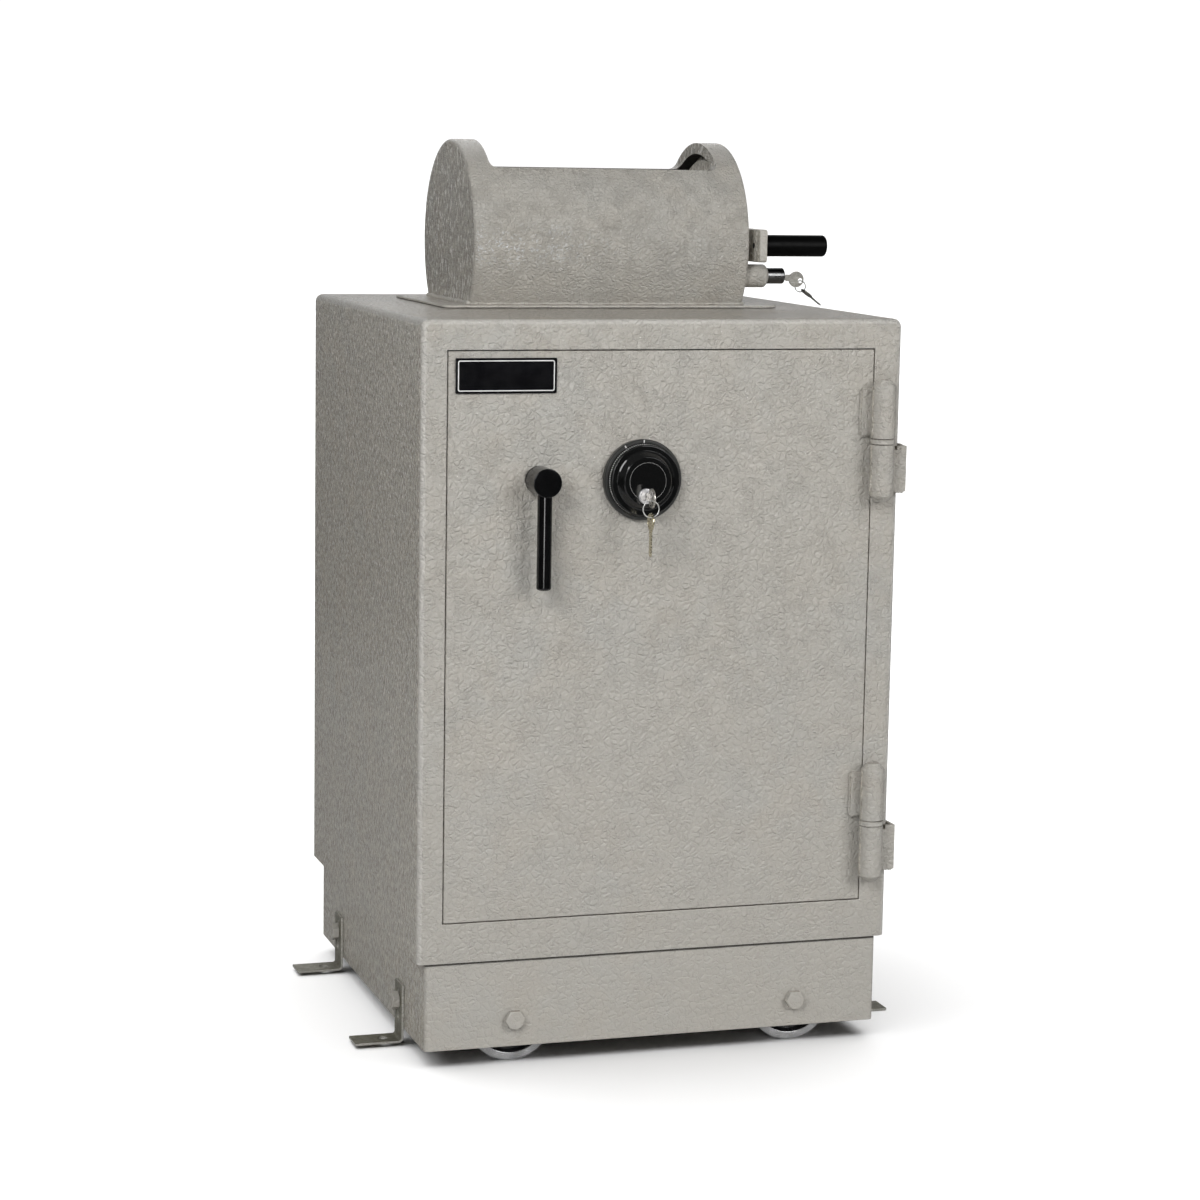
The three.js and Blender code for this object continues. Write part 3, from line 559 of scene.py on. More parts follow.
def make_turned(name, base, rough, axis, centre, pitch=0.0006, depth=0.12, metal=0.0, edge=None):
    """A surface with concentric tool marks about an axis through centre, in the shared frame."""
    n = Net(name)
    rel = n.vmath("SUBTRACT", n.co, tuple(centre))
    keep = {"x": (0, 1, 1), "y": (1, 0, 1), "z": (1, 1, 0)}[axis]
    flat = n.vmath("MULTIPLY", rel, keep)
    ln = n.node("ShaderNodeVectorMath", {0: flat}, operation="LENGTH")
    radius = ln.outputs["Value"]
    wobble = n.math("MULTIPLY", n.noise(35, 2, 0.5), 0.0002)
    wave = n.math("SINE", n.math("MULTIPLY", n.math("ADD", radius, wobble), 2 * PI / pitch))
    streak = n.node("ShaderNodeTexNoise", {"W": n.math("MULTIPLY", radius, 2600.0), "Scale": 1.0, "Detail": 3.0}, noise_dimensions="1D").outputs["Fac"]
    c = n.mix(n.ramp(streak, 0.3, 0.7), base, edge or tuple(min(1, x * 1.5) for x in base[:3]) + (1,))
    r = n.ramp(streak, 0.25, 0.75, rough[0], rough[1])
    h = n.math("ADD", n.math("MULTIPLY", wave, 0.5), streak)
    return n.shade(color=c, rough=r, metal=metal, normal=n.bump(h, depth, 0.00008))


PAINT = make_paint("paint")
PAINT_FINE = make_paint("paint_thin", 0.55)
# The plinth and flange paints carry a painted shadow line along their joints with the cabinet.
PAINT_PLINTH = make_paint("paint_plinth", 0.72, seam=(0.1147, 0.1158, 0.1192, 0.1198))
PAINT_FLANGE = make_paint("paint_flange", 0.9, seam=(0.8170, 0.8180, 0.8193, 0.8199))
# The cabinet paint has the painted highlight on its rounded edges.
PAINT_CABINET = make_paint("paint_cabinet", 1.0, edge=0.45)
# The casing paint carries the painted glint band.
PAINT_HOPPER = make_paint("paint_hopper", 1.0, finer=1.5, coarse=0.72, glint_flecks=0.62)
ZINC = make_metal("zinc", (0.15, 0.145, 0.11, 1), (0.24, 0.23, 0.18, 1), (0.36, 0.5), 120, bump=0.25, metal=0.35, scratch=0.3)
ZINC_EDGE = make_metal("zinc_edge", (0.40, 0.39, 0.35, 1), (0.56, 0.55, 0.51, 1), (0.22, 0.36), 300, (60, 60, 1800), 0.3, metal=0.2)
STEEL = make_metal("steel", (0.34, 0.34, 0.35, 1), (0.46, 0.46, 0.465, 1), (0.30, 0.46), 70, (30, 900, 900), 0.25, scratch=0.2)
BRIGHT = make_metal("bright_steel", (0.58, 0.58, 0.59, 1), (0.7, 0.7, 0.7, 1), (0.14, 0.24), 90, (2200, 60, 60), 0.16)
CHROME = make_metal("chrome", (0.74, 0.73, 0.74, 1), (0.84, 0.83, 0.84, 1), (0.16, 0.26), 150, bump=0.06, metal=0.5, scratch=0.15)
NICKEL = make_metal("key_nickel", (0.40, 0.385, 0.35, 1), (0.52, 0.50, 0.46, 1), (0.22, 0.36), 260, bump=0.12, metal=0.8, scratch=0.4)
DARK_KEY = make_metal("key_dark", (0.07, 0.068, 0.06, 1), (0.13, 0.125, 0.11, 1), (0.25, 0.4), 260, bump=0.12, metal=0.6, scratch=0.3)
CYL = make_metal("lock_cylinder", (0.10, 0.10, 0.10, 1), (0.15, 0.15, 0.15, 1), (0.16, 0.26), 90, (2200, 60, 60), 0.12)
BRASSY = make_metal("key_brassy", (0.50, 0.45, 0.30, 1), (0.68, 0.63, 0.48, 1), (0.2, 0.34), 260, bump=0.12, scratch=0.5)
WIRE = make_metal("ring_wire", (0.66, 0.66, 0.65, 1), (0.80, 0.80, 0.79, 1), (0.14, 0.24), 400, bump=0.08, metal=0.5)
DARK_WIRE = make_metal("ring_wire_dark", (0.13, 0.13, 0.125, 1), (0.22, 0.22, 0.21, 1), (0.2, 0.3), 400, bump=0.08, metal=0.7)
KEY_GREY = make_metal("key_grey", (0.22, 0.21, 0.19, 1), (0.33, 0.32, 0.29, 1), (0.26, 0.4), 260, bump=0.12, metal=0.5, scratch=0.4)
BRONZE = make_metal("bronze", (0.36, 0.22, 0.09, 1), (0.46, 0.30, 0.14, 1), (0.25, 0.4), 90, bump=0.15)
GLOSS = make_black("gloss_black", (0.0035, 0.0035, 0.0038, 1), (0.07, 0.13), 0.04)
SATIN = make_black("grip_black", (0.0012, 0.0012, 0.0012, 1), (0.34, 0.46), 0.14, 700, spec=0.07)


def make_bore(name):
    """The casing's inner wall: paint-coloured where the window lights it, near black in the gap beside the drum's end
    disc as painted shade.
    """
    n = Net(name)
    x = n.node("ShaderNodeSeparateXYZ", {0: n.co}).outputs[0]
    tone = n.mix(n.ramp(n.noise(180, 3, 0.6), 0.35, 0.65), (0.36, 0.34, 0.31, 1), (0.46, 0.44, 0.40, 1))
    # Painted shade: near black from about x 0.138 m rightwards, in the gap beside the drum's end disc.
    gap_shade = n.math("ADD", x, n.math("MULTIPLY", n.math("SUBTRACT", n.noise(90, 2, 0.5), 0.5), 0.002))
    tone = n.mix(n.ramp(gap_shade, 0.1375, 0.1420), tone, (0.02, 0.019, 0.017, 1))
    return n.shade(color=tone, rough=n.ramp(n.noise(70, 3, 0.6), 0.3, 0.7, 0.5, 0.75), spec=0.3, normal=n.bump(n.noise(500, 2, 0.5), 0.3, 0.0004))


BORE = make_bore("hopper_bore")
# Near black for the crank arm's pin hole: painted shade inside the hole.
HOLE_SHADE = make_black("hole_dark", (0.02, 0.019, 0.017, 1), (0.6, 0.8), 0.3, 500)
PLATE = make_black("nameplate_black", (0.0022, 0.0022, 0.003, 1), (0.14, 0.2), 0.05)
dial_c = (DIX * 0.001 + SHIFT.x * 0.001, 0, (DIZ + SHIFT.z) * 0.001)
DIAL = make_turned("dial_black", (0.005, 0.0052, 0.0052, 1), (0.05, 0.10), "y", dial_c, 0.0005, 0.03)
RING = make_turned("dial_ring_black", (0.026, 0.0265, 0.025, 1), (0.24, 0.36), "y", dial_c, 0.0007, 0.10)
INK_DIM = make_black("worn_ink", (0.36, 0.36, 0.35, 1), (0.45, 0.6), 0.1)
INK = make_black("white_ink", (0.72, 0.72, 0.70, 1), (0.45, 0.6), 0.1)
RIM = make_metal("wheel_rim", (0.36, 0.36, 0.365, 1), (0.52, 0.52, 0.525, 1), (0.14, 0.26), 80, bump=0.15, metal=0.8, scratch=0.3)
WEB = make_black("wheel_web", (0.016, 0.016, 0.017, 1), (0.18, 0.3), 0.2, 180)

# ---------------------------------------------------------------- cabinet
def cabinet_shell():
    bm = box(0, W, 0, D, 0, H)
    up = [e for e in bm.edges if abs((e.verts[1].co - e.verts[0].co).normalized().z) > 0.9]
    top = [e for e in bm.edges if min(v.co.z for v in e.verts) > H - 1]
    bmesh.ops.bevel(bm, geom=up + top, offset=EDGE_R, offset_type="OFFSET", segments=7, profile=0.5, affect="EDGES", clamp_overlap=True)
    g = 1.25
    bm = cut(bm, box(T, W - T, T, D - T, T, H - T), box(DX0 - g, DX1 + g, -5, T + 1, DZ0 - g, DZ1 + g), box(125, 432, 250, 410, H - T - 2, H + 5))
    lip = lambda m, d: abs(m.y) < 0.01 and DX0 - 3 < m.x < DX1 + 3 and DZ0 - 3 < m.z < DZ1 + 3
    round_edges(bm, 1.1, 3, lip)
    round_edges(bm, 0.7, 2, lambda m, d: abs(m.z) < 0.01 and (m.x < 1 or m.x > W - 1 or m.y < 1 or m.y > D - 1))
    return bm


piece("cabinet_shell_skin", cabinet_shell(), PAINT_CABINET, "cabinet", "cabinet_shell")

o = T + GAP + 0.1
bm = cut(box(o, W - o, T + GAP, 28.5, o, H - o), box(DX0 - 2, DX1 + 2, 0, 13.5, DZ0 - 2, DZ1 + 2), box(39.5, 504, 0, 30, 56, 655))
round_edges(bm, 0.7, 2, lambda m, d: 30 < m.x < 515 and 40 < m.z < 670)
piece("door_frame_skin", bm, PAINT_FINE, "cabinet", "door_frame")

out = fillet([(222, H - T - GAP), (222, 604, 9), (440, 502), (442, 505), (225, 607, 6), (225, H - T - GAP)], 6)
piece("anti_fishing_plate_skin", round_edges(prism(out, "x", 70, 480), 0.5, 2), PAINT_FINE, "cabinet", "anti_fishing_plate")


# ---------------------------------------------------------------- plinth, wheels, anchors
def mirror_y(y):
    return PY0 + PY1 - y


def plinth():
    bm = ring_prism(rect(PX0, PX1, PY0, PY1, 5, 6), rect(PX0 + PT, PX1 - PT, PY0 + PT, PY1 - PT, 1.5, 6), "z", PZ0, -GAP)
    bm = join(bm, box(PX0 + 3, PX1 - 3, 45, 51, -94, -40), box(PX0 + 3, PX1 - 3, mirror_y(51), mirror_y(45), -94, -40))
    tools = []
    for x in WHEEL_X:
        tools += [cyl(6.4, 0, 60, "y", (x, 0, AXLE_Z), 24), cyl(6.4, mirror_y(60), mirror_y(0), "y", (x, 0, AXLE_Z), 24)]
    for y in BR_Y:
        tools += [cyl(5.4, PX0 - 5, PX0 + 12, "x", (0, y, BR_BOLT_Z), 24), cyl(5.4, PX1 - 12, PX1 + 5, "x", (0, y, BR_BOLT_Z), 24)]
    bm = cut(bm, *tools)
    edge = lambda m, d: (abs(m.z - PZ0) < 0.01 or abs(m.z + GAP) < 0.01) and abs(d.z) < 0.1
    return round_edges(bm, 0.9, 3, edge)


piece("plinth_frame_skin", plinth(), PAINT_PLINTH, "cabinet", "plinth_frame")


def hex_head(axis, cu, cv, af, a, b, a0=0.0, face=1):
    """Hexagon from a (free face) to b, its free face chamfered, edges softened by the paint on them."""
    body = prism(ring_pts(cu, cv, af / math.sqrt(3), 6, a0), axis, min(a, b), max(a, b))
    s = 1 if b > a else -1
    r2 = af / math.sqrt(3) + 0.3
    prof = [(0, a), (af / 2 - 0.7, a), (r2, a + s * 1.9), (r2, b + s * 0.5), (0, b + s * 0.5)]
    c = {"x": (0, cu, cv), "y": (cu, 0, cv), "z": (cu, cv, 0)}[axis]
    bm = both(body, lathe(prof, axis, c, 96))
    return round_edges(bm, 0.45, 3, angle=20)


for i, x in enumerate(WHEEL_X):
    side = ("left", "right")[i]
    for where in ("front", "rear"):
        my = (lambda y: y) if where == "front" else mirror_y
        rnd = lambda p: [(r, my(t)) for r, t in p]
        w0, w1 = 13.0, 41.0
        prof = fillet([(6.4, w0 + 1), (17, w0 + 1, 1), (18, w0 + 7, 1.5), (38.5, w0 + 7, 2.5), (41, w0 + 0.4, 1), (47.6, w0, 1), (WHEEL_R, w0 + 3.2, 1.6),
                       (WHEEL_R, w1 - 3.2, 1.6), (47.6, w1, 1), (41, w1 - 0.4, 1), (38.5, w1 - 7, 2.5), (18, w1 - 7, 1.5), (17, w1 - 1, 1), (6.4, w1 - 1)], 4)
        bm = lathe(rnd(prof), "y", (x, 0, AXLE_Z), 96, closed=True)
        y0, y1 = sorted((my(w0), my(w1)))
        paint_faces(bm, lambda c, nn: math.hypot(c.x - x, c.z - AXLE_Z) < 40.2, 1)
        piece(f"wheel_{where}_{side}_skin", bm, [RIM, WEB], f"{where}_{side}_wheel", f"wheel_{where}_{side}", sharp=50)
        bm = merge(hex_head("y", x, AXLE_Z, 20, my(PY0 - 8), my(PY0 - GAP)),
                   cyl(6, min(my(PY0 - 1), my(58)), max(my(PY0 - 1), my(58)), "y", (x, 0, AXLE_Z), 32, 0.4, 0.4),
                   hex_head("y", x, AXLE_Z, 19, my(60.5), my(51.3)))
        piece(f"axle_bolt_{where}_{side}_skin", bm, PAINT_FINE, "cabinet", f"axle_bolt_{where}_{side}")


def bracket(side, y, zb):
    xi = PX0 - GAP if side < 0 else PX1 + GAP
    tip = (PX0 if side < 0 else PX1) + side * 56.0
    xo = xi + side * 3.0
    pts = [(xi, zb + 66.5), (xi, zb, 6), (tip, zb), (tip, zb + 3), (xo, zb + 3, 3), (xo, zb + 66.5)]
    bm = prism(fillet(pts, 8), "y", y - 16, y + 16)
    slot = prism(rect(y - 5.8, y + 5.8, zb + 22, zb + 60, 5.6, 8), "x", min(xi, xo) - 2, max(xi, xo) + 2)
    hole = cyl(5.5, zb - 2, zb + 5, "z", (tip - side * 35.5, y, 0), 40)
    bm = cut(bm, slot, hole)
    for f in bm.faces:
        f.material_index = 0
    bm.normal_update()
    for f in bm.faces:
        c, nn = f.calc_center_median(), f.normal
        edge_face = abs(nn.y) > 0.7 or (abs(nn.x) > 0.9 and abs(c.x - tip) < 0.1) or (nn.z > 0.9 and c.z > zb + 66)
        inside = (abs(c.y - y) < 5.9 and zb + 21 < c.z < zb + 61 and abs(nn.x) < 0.3) or (math.hypot(c.x - (tip - side * 35.5), c.y - y) < 5.6 and abs(nn.z) < 0.3)
        if edge_face or inside:
            f.material_index = 1
    return round_edges(bm, 0.35, 2, angle=30)


for s, tag in ((-1, "left"), (1, "right")):
    for i, y in enumerate(BR_Y):
        where = ("front", "rear")[i]
        zb = FLOOR + 3.5 if s < 0 else FLOOR
        piece(f"anchor_bracket_{where}_{tag}_skin", bracket(s, y, zb), [ZINC, ZINC_EDGE], "cabinet", f"anchor_bracket_{where}_{tag}")
        xf = PX0 - GAP - 3.3 if s < 0 else PX1 + GAP + 3.3
        xin = PX0 + PT + GAP if s < 0 else PX1 - PT - GAP
        bm = merge(hex_head("x", y, BR_BOLT_Z, 18.5, xf + s * 8, xf, PI / 6),
                   cyl(5, min(xf + s, xin - s * 9), max(xf + s, xin - s * 9), "x", (0, y, BR_BOLT_Z), 28, 0.4, 0.4),
                   hex_head("x", y, BR_BOLT_Z, 17, xin - s * 8, xin, PI / 6))
        piece(f"anchor_bolt_{where}_{tag}_skin", bm, PAINT_FINE, "cabinet", f"anchor_bolt_{where}_{tag}")

# ---------------------------------------------------------------- deposit hopper
HX0, HX1, HRAD, HBORE = 113.5, 443.5, 117.0, 104.3
HZ0 = 703.6
WX0, WX1, WZ = 141.5, 415.5, 857.5

bm = ring_prism(rect(78.5, 478.5, 210, 450, 10, 8), rect(125, 432, 250, 410, 0.5, 8), "z", 700.55, 703.3)
piece("hopper_flange_skin", round_edges(bm, 0.55, 3, lambda m, d: abs(d.z) < 0.1 and (m.x < 124 or m.x > 433 or m.y < 249 or m.y > 411)), PAINT_FLANGE, "cabinet", "hopper_flange")


def housing():
    e = 4.0
    prof = fillet([(0, HX0), (HRAD, HX0, e), (HRAD, HX1, e), (0, HX1)], 6, closed=False)
    bm = lathe(prof, "x", (0, AXY, AXZ), 144, phase=PI / 144)
    c = (0, AXY, AXZ)
    wr = 8.0
    win = fillet([(WX0, WZ + 60), (WX0, WZ, wr), (WX1, WZ, wr), (WX1, WZ + 60)], 8)
    bm = cut(bm, cyl(HBORE, HX0 + 12.7, HX1 - 12.7, "x", c, 144, phase=PI / 144), box(HX0 - 5, HX1 + 5, AXY - 130, AXY + 130, AXZ - 130, HZ0),
             prism(win, "y", AXY - 130, AXY + 130), cyl(17, HX0 + 4, HX0 + 14, "x", c, 48), cyl(17, HX1 - 14, HX1 + 1, "x", c, 48), cyl(4.4, HX1 - 14, HX1 + 1, "x", (0, LOCKY, LOCKZ), 24))
    window = lambda m, d: WX0 - 1 < m.x < WX1 + 1 and m.z > WZ - 1
    round_edges(bm, 1.3, 3, window, angle=28)
    bm.normal_update()
    return paint_faces(bm, lambda cc, nn: abs(math.hypot(cc.y - AXY, cc.z - AXZ) - HBORE) < 1.0 and abs(nn.x) < 0.2, 1)


piece("hopper_housing_skin", housing(), [PAINT_HOPPER, BORE], "cabinet", "hopper_housing", sharp=42)

# Weld fillet around the housing's foot on the flange.
half = math.sqrt(HRAD ** 2 - (AXZ - HZ0) ** 2)
fy, ry = AXY - half, AXY + half
rnd = random.Random(3)
for k, (a, b, up, r) in enumerate((
        ((HX0 + 1, fy - 0.2, 704.2), (HX1 - 1, fy - 0.2, 704.2), (0, -0.5, 1), 1.5), ((HX0 + 1, ry + 0.2, 704.2), (HX1 - 1, ry + 0.2, 704.2), (0, 0.5, 1), 1.5),
        ((HX0 - 0.3, fy, 704.6), (HX0 - 0.3, ry, 704.6), (-1, 0, 1), 2.6), ((HX1 + 0.3, fy, 704.6), (HX1 + 0.3, ry, 704.6), (1, 0, 1), 2.6))):
    piece(f"hopper_weld_{k}", bead(a, b, r, up, 0.9, 5.0, 0.10, 20 + k), PAINT, "cabinet")

c = (0, LOCKY, LOCKZ)
prof = fillet([(9.7, HX1 + GAP), (13.5, HX1 + GAP), (13.5, 470.6, 4.2), (9.7, 473.6)], 8)
piece("deposit_lock_boss_skin", lathe(prof, "x", c, 72, closed=True), PAINT, "cabinet", "deposit_lock_boss", sharp=50)
path = [Vector((HX1 + 0.6, LOCKY + 13.9 * math.cos(a), LOCKZ + 13.9 * math.sin(a))) for a in (2 * PI * k / 90 for k in range(90))]
piece("deposit_lock_boss_weld", sweep(path, [1.5 + 0.22 * math.cos(k * 2 * PI / 90 * 22) + 0.15 * math.sin(k * 0.31) for k in range(90)], (1, 0, 0), 10, 0.9, True), PAINT_FINE, "cabinet")
prof = fillet([(6.0, 447.5), (9.25, 447.5), (9.25, 495, 1.9), (6.9, 495, 0.3), (6.0, 493.6)], 5)
piece("deposit_lock_body_skin", lathe(prof, "x", c, 72, closed=True), CYL, "cabinet", "deposit_lock_body", sharp=40)

# ---------------------------------------------------------------- hinges
for z, tag in HINGES:
    c = (HX, HY, 0)
    b = z - 67
    prof = fillet([(0, b), (6.9, b, 1.0), (HR, b + 6.5, 1.4), (HR, z - 4.0, 0.5), (HR - 1.9, z - 3.3), (HR + 0.3, z - 2.4, 0.5), (HR + 0.3, z + 2.2, 0.5), (HR - 1.8, z + 2.9), (6, z + 3.2), (6, z + 50, 1.2), (0, z + 51.5)], 4, closed=False)
    barrel = lathe(prof, "z", c, 72)
    leaf = round_edges(join(box(530.5, 542.5, -10, -1.5, z - 57, z - 10), box(541.6, 553.5, -7, -0.5, z - 57, z - 6), box(W + 0.4, 553.5, -7, 40, z - 57, z - 6)), 1.0, 3)
    welds = [bead((535.2, -10.2, z - 56.5), (535.2, -10.2, z - 7.5), 2.0, (0.7, -1, 0), 0.9, 3.0, 0.12, int(z)),
             bead((549.2, -4.6, z - 57.2), (549.2, 39, z - 57.2), 1.7, (0, 0, -1), 0.8, 3.0, 0.2, int(z) + 1),
             bead((549, -4, z - 5.6), (549, 39.5, z - 5.6), 1.5, (0, 0, 1), 0.8, 3.0, 0.2, int(z) + 2),
             bead((541, -5.6, z - 57.2), (551.5, -5.6, z - 57.2), 1.6, (0, 0, -1), 0.8, 3.4, 0.25, int(z) + 3)]
    piece(f"hinge_frame_half_{tag}_skin", merge(barrel, leaf), PAINT, "cabinet", f"hinge_frame_half_{tag}", sharp=40)
    piece(f"hinge_frame_weld_{tag}", merge(*welds), PAINT_FINE, "cabinet")
    t = z + 68
    barrel = lathe([(6.3, z + 53), (6.3, z + 3.5)] + fillet([(6.3, z + 3.5), (HR - 0.2, z + 3.5, 0.6), (HR, t - 7, 3.0), (HR - 6.0, t, 1.6), (0, t)], 5, closed=False)[1:] + [(0, z + 53)], "z", c, 72, closed=True)
    leaf = round_edges(box(499.5, 519.5, -5.6, -GAP, z + 6, z + 57), 1.2, 4)
    piece(f"hinge_door_half_{tag}_skin", merge(barrel, leaf), PAINT, "door", f"hinge_door_half_{tag}", sharp=40)
    welds = [bead((499.3, -1.4, z + 8), (499.3, -1.4, z + 55), 1.3, (-1, -0.6, 0), 0.8, 3.2, 0.12, int(z) + 5),
             bead((500.5, -1.9, z + 5.6), (514, -1.9, z + 5.6), 1.8, (0, -0.6, -1), 0.9, 3.6, 0.25, int(z) + 6),
             bead((500.5, -1.6, z + 57.4), (514, -1.6, z + 57.4), 1.5, (0, -0.6, 1), 0.8, 3.2, 0.18, int(z) + 7)]
    piece(f"hinge_door_weld_{tag}", merge(*welds), PAINT_FINE, "door")

# ---------------------------------------------------------------- door
bm = cut(box(DX0, DX1, 0, DT, DZ0, DZ1), cyl(8.5, -2, 20, "y", (HANX, 0, HANZ), 32), cyl(5.5, -2, 20, "y", (DIX, 0, DIZ), 32))
piece("door_plate_skin", round_edges(bm, 1.1, 3, lambda m, d: m.x < DX0 + 1 or m.x > DX1 - 1 or m.z < DZ0 + 1 or m.z > DZ1 - 1), PAINT, "door", "door_plate")


def cover():
    outer = box(45.5, 490, DT + 0.5, 60, 62, 649)
    bmesh.ops.bevel(outer, geom=[e for e in outer.edges if max(v.co.y for v in e.verts) > 50], offset=3.2, offset_type="OFFSET", segments=5, profile=0.5, affect="EDGES", clamp_overlap=True)
    inner = box(47.1, 488.4, DT - 2, 58.4, 63.6, 647.4)
    bmesh.ops.bevel(inner, geom=[e for e in inner.edges if max(v.co.y for v in e.verts) > 50], offset=1.6, offset_type="OFFSET", segments=4, profile=0.5, affect="EDGES", clamp_overlap=True)
    window = prism(rect(22, 54, 84, 630, 3, 5), "x", 40, 50)
    return round_edges(cut(outer, inner, window), 0.4, 2, lambda m, d: m.x < 48 and 20 < m.y < 56 and 80 < m.z < 634)


piece("boltwork_cover_skin", cover(), PAINT_FINE, "door", "boltwork_cover", sharp=40)
screws = []
for x in (62, 473.5):
    for z in (78, 355.5, 633):
        dome = [(0, 61.9), (1.6, 61.8), (3.0, 61.3), (3.9, 60.5), (4.1, 59.7), (0, 59.7)]
        s = cut(lathe(dome, "y", (x, 0, z), 40), box(x - 2.6, x + 2.6, 61.1, 63, z - 0.45, z + 0.45), box(x - 0.45, x + 0.45, 61.1, 63, z - 2.6, z + 2.6))
        screws.append(s)
piece("cover_screws", merge(*screws), STEEL, "door", sharp=45)

bm = round_edges(prism(rect(36.7, 148.5, 621.3, 659.2, 1.5, 5), "y", -2.2, -GAP), 0.35, 2)
piece("nameplate_skin", bm, PLATE, "door", "nameplate")
bm = ring_prism(rect(39.2, 146.0, 623.8, 656.7, 2.2, 6), rect(40.3, 144.9, 624.9, 655.6, 1.4, 6), "y", -2.28, -2.1)
piece("nameplate_border", bm, INK, "door")

bm = join(box(492, 499.5, DT + GAP, 43, 110, 600), box(492, 512, 33.5, 43, 110, 600))
piece("hinge_side_dead_bar_skin", round_edges(bm, 0.6, 2), STEEL, "door", "hinge_side_dead_bar")
for z, tag in ((150, "bottom"), (355, "middle"), (570, "top")):
    prof = fillet([(0, 46.5), (11, 46.5, 1.8), (11, 87.7, 0.4), (6, 87.7), (6, 111), (0, 111)], 4, closed=False)
    piece(f"locking_bolt_{tag}_skin", lathe(prof, "x", (0, 41.5, z), 56), BRIGHT, "boltwork", f"locking_bolt_{tag}", sharp=40)

# Handle.
c = (HANX, 0, HANZ)
prof = fillet([(0, -35), (15.75, -35, 0.9), (15.75, -4.6, 0.2), (15.3, -4.2), (15.3, -3.6), (15.75, -3.2, 0.2), (15.75, -0.4, 0.4), (8.4, -0.4), (8.4, -13), (0, -13)], 4, closed=False)
bm = cut(lathe(prof, "y", c, 96), cyl(8.15, HANZ - 40, HANZ - 9.5, "z", (HANX, -24, 0), 48))
piece("handle_hub_skin", bm, GLOSS, "handle", "handle_hub", sharp=35)
piece("handle_rod_skin", cyl(8, 412, HANZ - 9.8, "z", (HANX, -24, 0), 72, 2.6, 0.3, 6), GLOSS, "handle", "handle_rod", sharp=40)

# Dial ring, dial, graduations and numbers.
c = (DIX, 0, DIZ)
prof = fillet([(6.5, -GAP), (44, -GAP, 0.3), (44, -6.4, 0.7), (42.6, -8, 0.5), (39.9, -8, 0.4), (39.9, -3), (6.5, -3)], 4)
piece("dial_ring_skin", lathe(prof, "y", c, 128, closed=True), RING, "door", "dial_ring", sharp=40)
marks = []
for a in (90, 120):
    t = math.radians(a)
    m = box(-0.55, 0.55, -8.12, -7.8, 40.3, 43.2 if a == 120 else 43.6)
    bmesh.ops.rotate(m, cent=(0, 0, 0), matrix=Matrix.Rotation(-(t - PI / 2), 3, "Y"), verts=m.verts)
    bmesh.ops.translate(m, vec=(DIX, 0, DIZ), verts=m.verts)
    marks.append(m)
piece("dial_ring_index", merge(*marks), INK, "door")

f = -24.0
prof = fillet([(0, 30), (4, 30), (4, -3.6), (39.2, -3.6, 0.3), (39.2, -8.2, 0.3), (38.3, -16.6, 1.1), (32.6, -16.7, 0.5), (31.2, -17.6, 0.7), (27.3, -22.9, 1.2), (26.0, f, 0.6), (0, f)], 6, closed=False)
bm = cut(lathe(prof, "y", c, 144), cyl(8.8, f - 2, f + 14, "y", (PLX, 0, PLZ), 64))
piece("dial_knob_skin", round_edges(bm, 0.35, 2, lambda m, d: abs(m.y - f) < 0.01, 40), DIAL, "dial", "dial_knob", sharp=34)


def skirt(turn, t, out=0.0):
    """Point on the dial's nearly upright skirt: turn is the angle about the dial's axis, t runs from its foot (0) to its rim (1)."""
    r = 39.2 - 0.9 * t + out
    return Vector((DIX + r * math.cos(turn), -8.4 - 7.0 * t, DIZ + r * math.sin(turn)))


ticks = []
for k in range(100):
    long = k % 10 == 0
    t1 = 0.50 if long else (0.48 if k % 5 == 0 else 0.45)
    half = (0.62 if long else 0.50) / 39.0
    t = PI / 2 + 2 * PI * k / 100
    bm = bmesh.new()
    rows = [[bm.verts.new(skirt(t + da, tt, d)) for da, tt in ((-half, 0.06), (half, 0.06), (half, t1), (-half, t1))] for d in (-0.06, 0.06)]
    bm.faces.new(rows[0])
    bm.faces.new(rows[1])
    for i in range(4):
        bm.faces.new((rows[0][i], rows[0][(i + 1) % 4], rows[1][(i + 1) % 4], rows[1][i]))
    ticks.append(finish_bm(bm))
piece("dial_graduations", merge(*ticks), INK, "dial", flat_faces=False)


def numeral(text, size, depth):
    cu = bpy.data.curves.new("n", "FONT")
    cu.body, cu.size, cu.extrude, cu.align_x, cu.align_y, cu.resolution_u = text, size, depth, "CENTER", "CENTER", 3
    ob = bpy.data.objects.new("n", cu)
    scene.collection.objects.link(ob)
    dg = bpy.context.evaluated_depsgraph_get()
    me = bpy.data.meshes.new_from_object(ob.evaluated_get(dg), depsgraph=dg)
    bm = bmesh.new()
    bm.from_mesh(me)
    bpy.data.objects.remove(ob)
    bpy.data.meshes.remove(me)
    bmesh.ops.remove_doubles(bm, verts=bm.verts, dist=1e-5)
    return bm


nums = []
for k in range(10):
    bm = numeral(str(k * 10), 2.6, 0.05)
    t = PI / 2 + 2 * PI * k / 10
    for v in bm.verts:
        u, w, d = v.co
        v.co = skirt(t - u / 38.6, 0.70 - w / 7.0, d)
    bmesh.ops.recalc_face_normals(bm, faces=bm.faces)
    nums.append(finish_bm(bm))
piece("dial_numbers", merge(*nums), INK_DIM, "dial", flat_faces=False)
circle = lathe([(20.38, f + 0.05), (20.38, f - 0.05), (20.62, f - 0.05), (20.62, f + 0.05)], "y", c, 128, closed=True)
circle = cut(circle, cyl(8.85, f - 2, f + 2, "y", (PLX, 0, PLZ), 64))
piece("dial_circle", circle, INK_DIM, "dial", flat_faces=False)


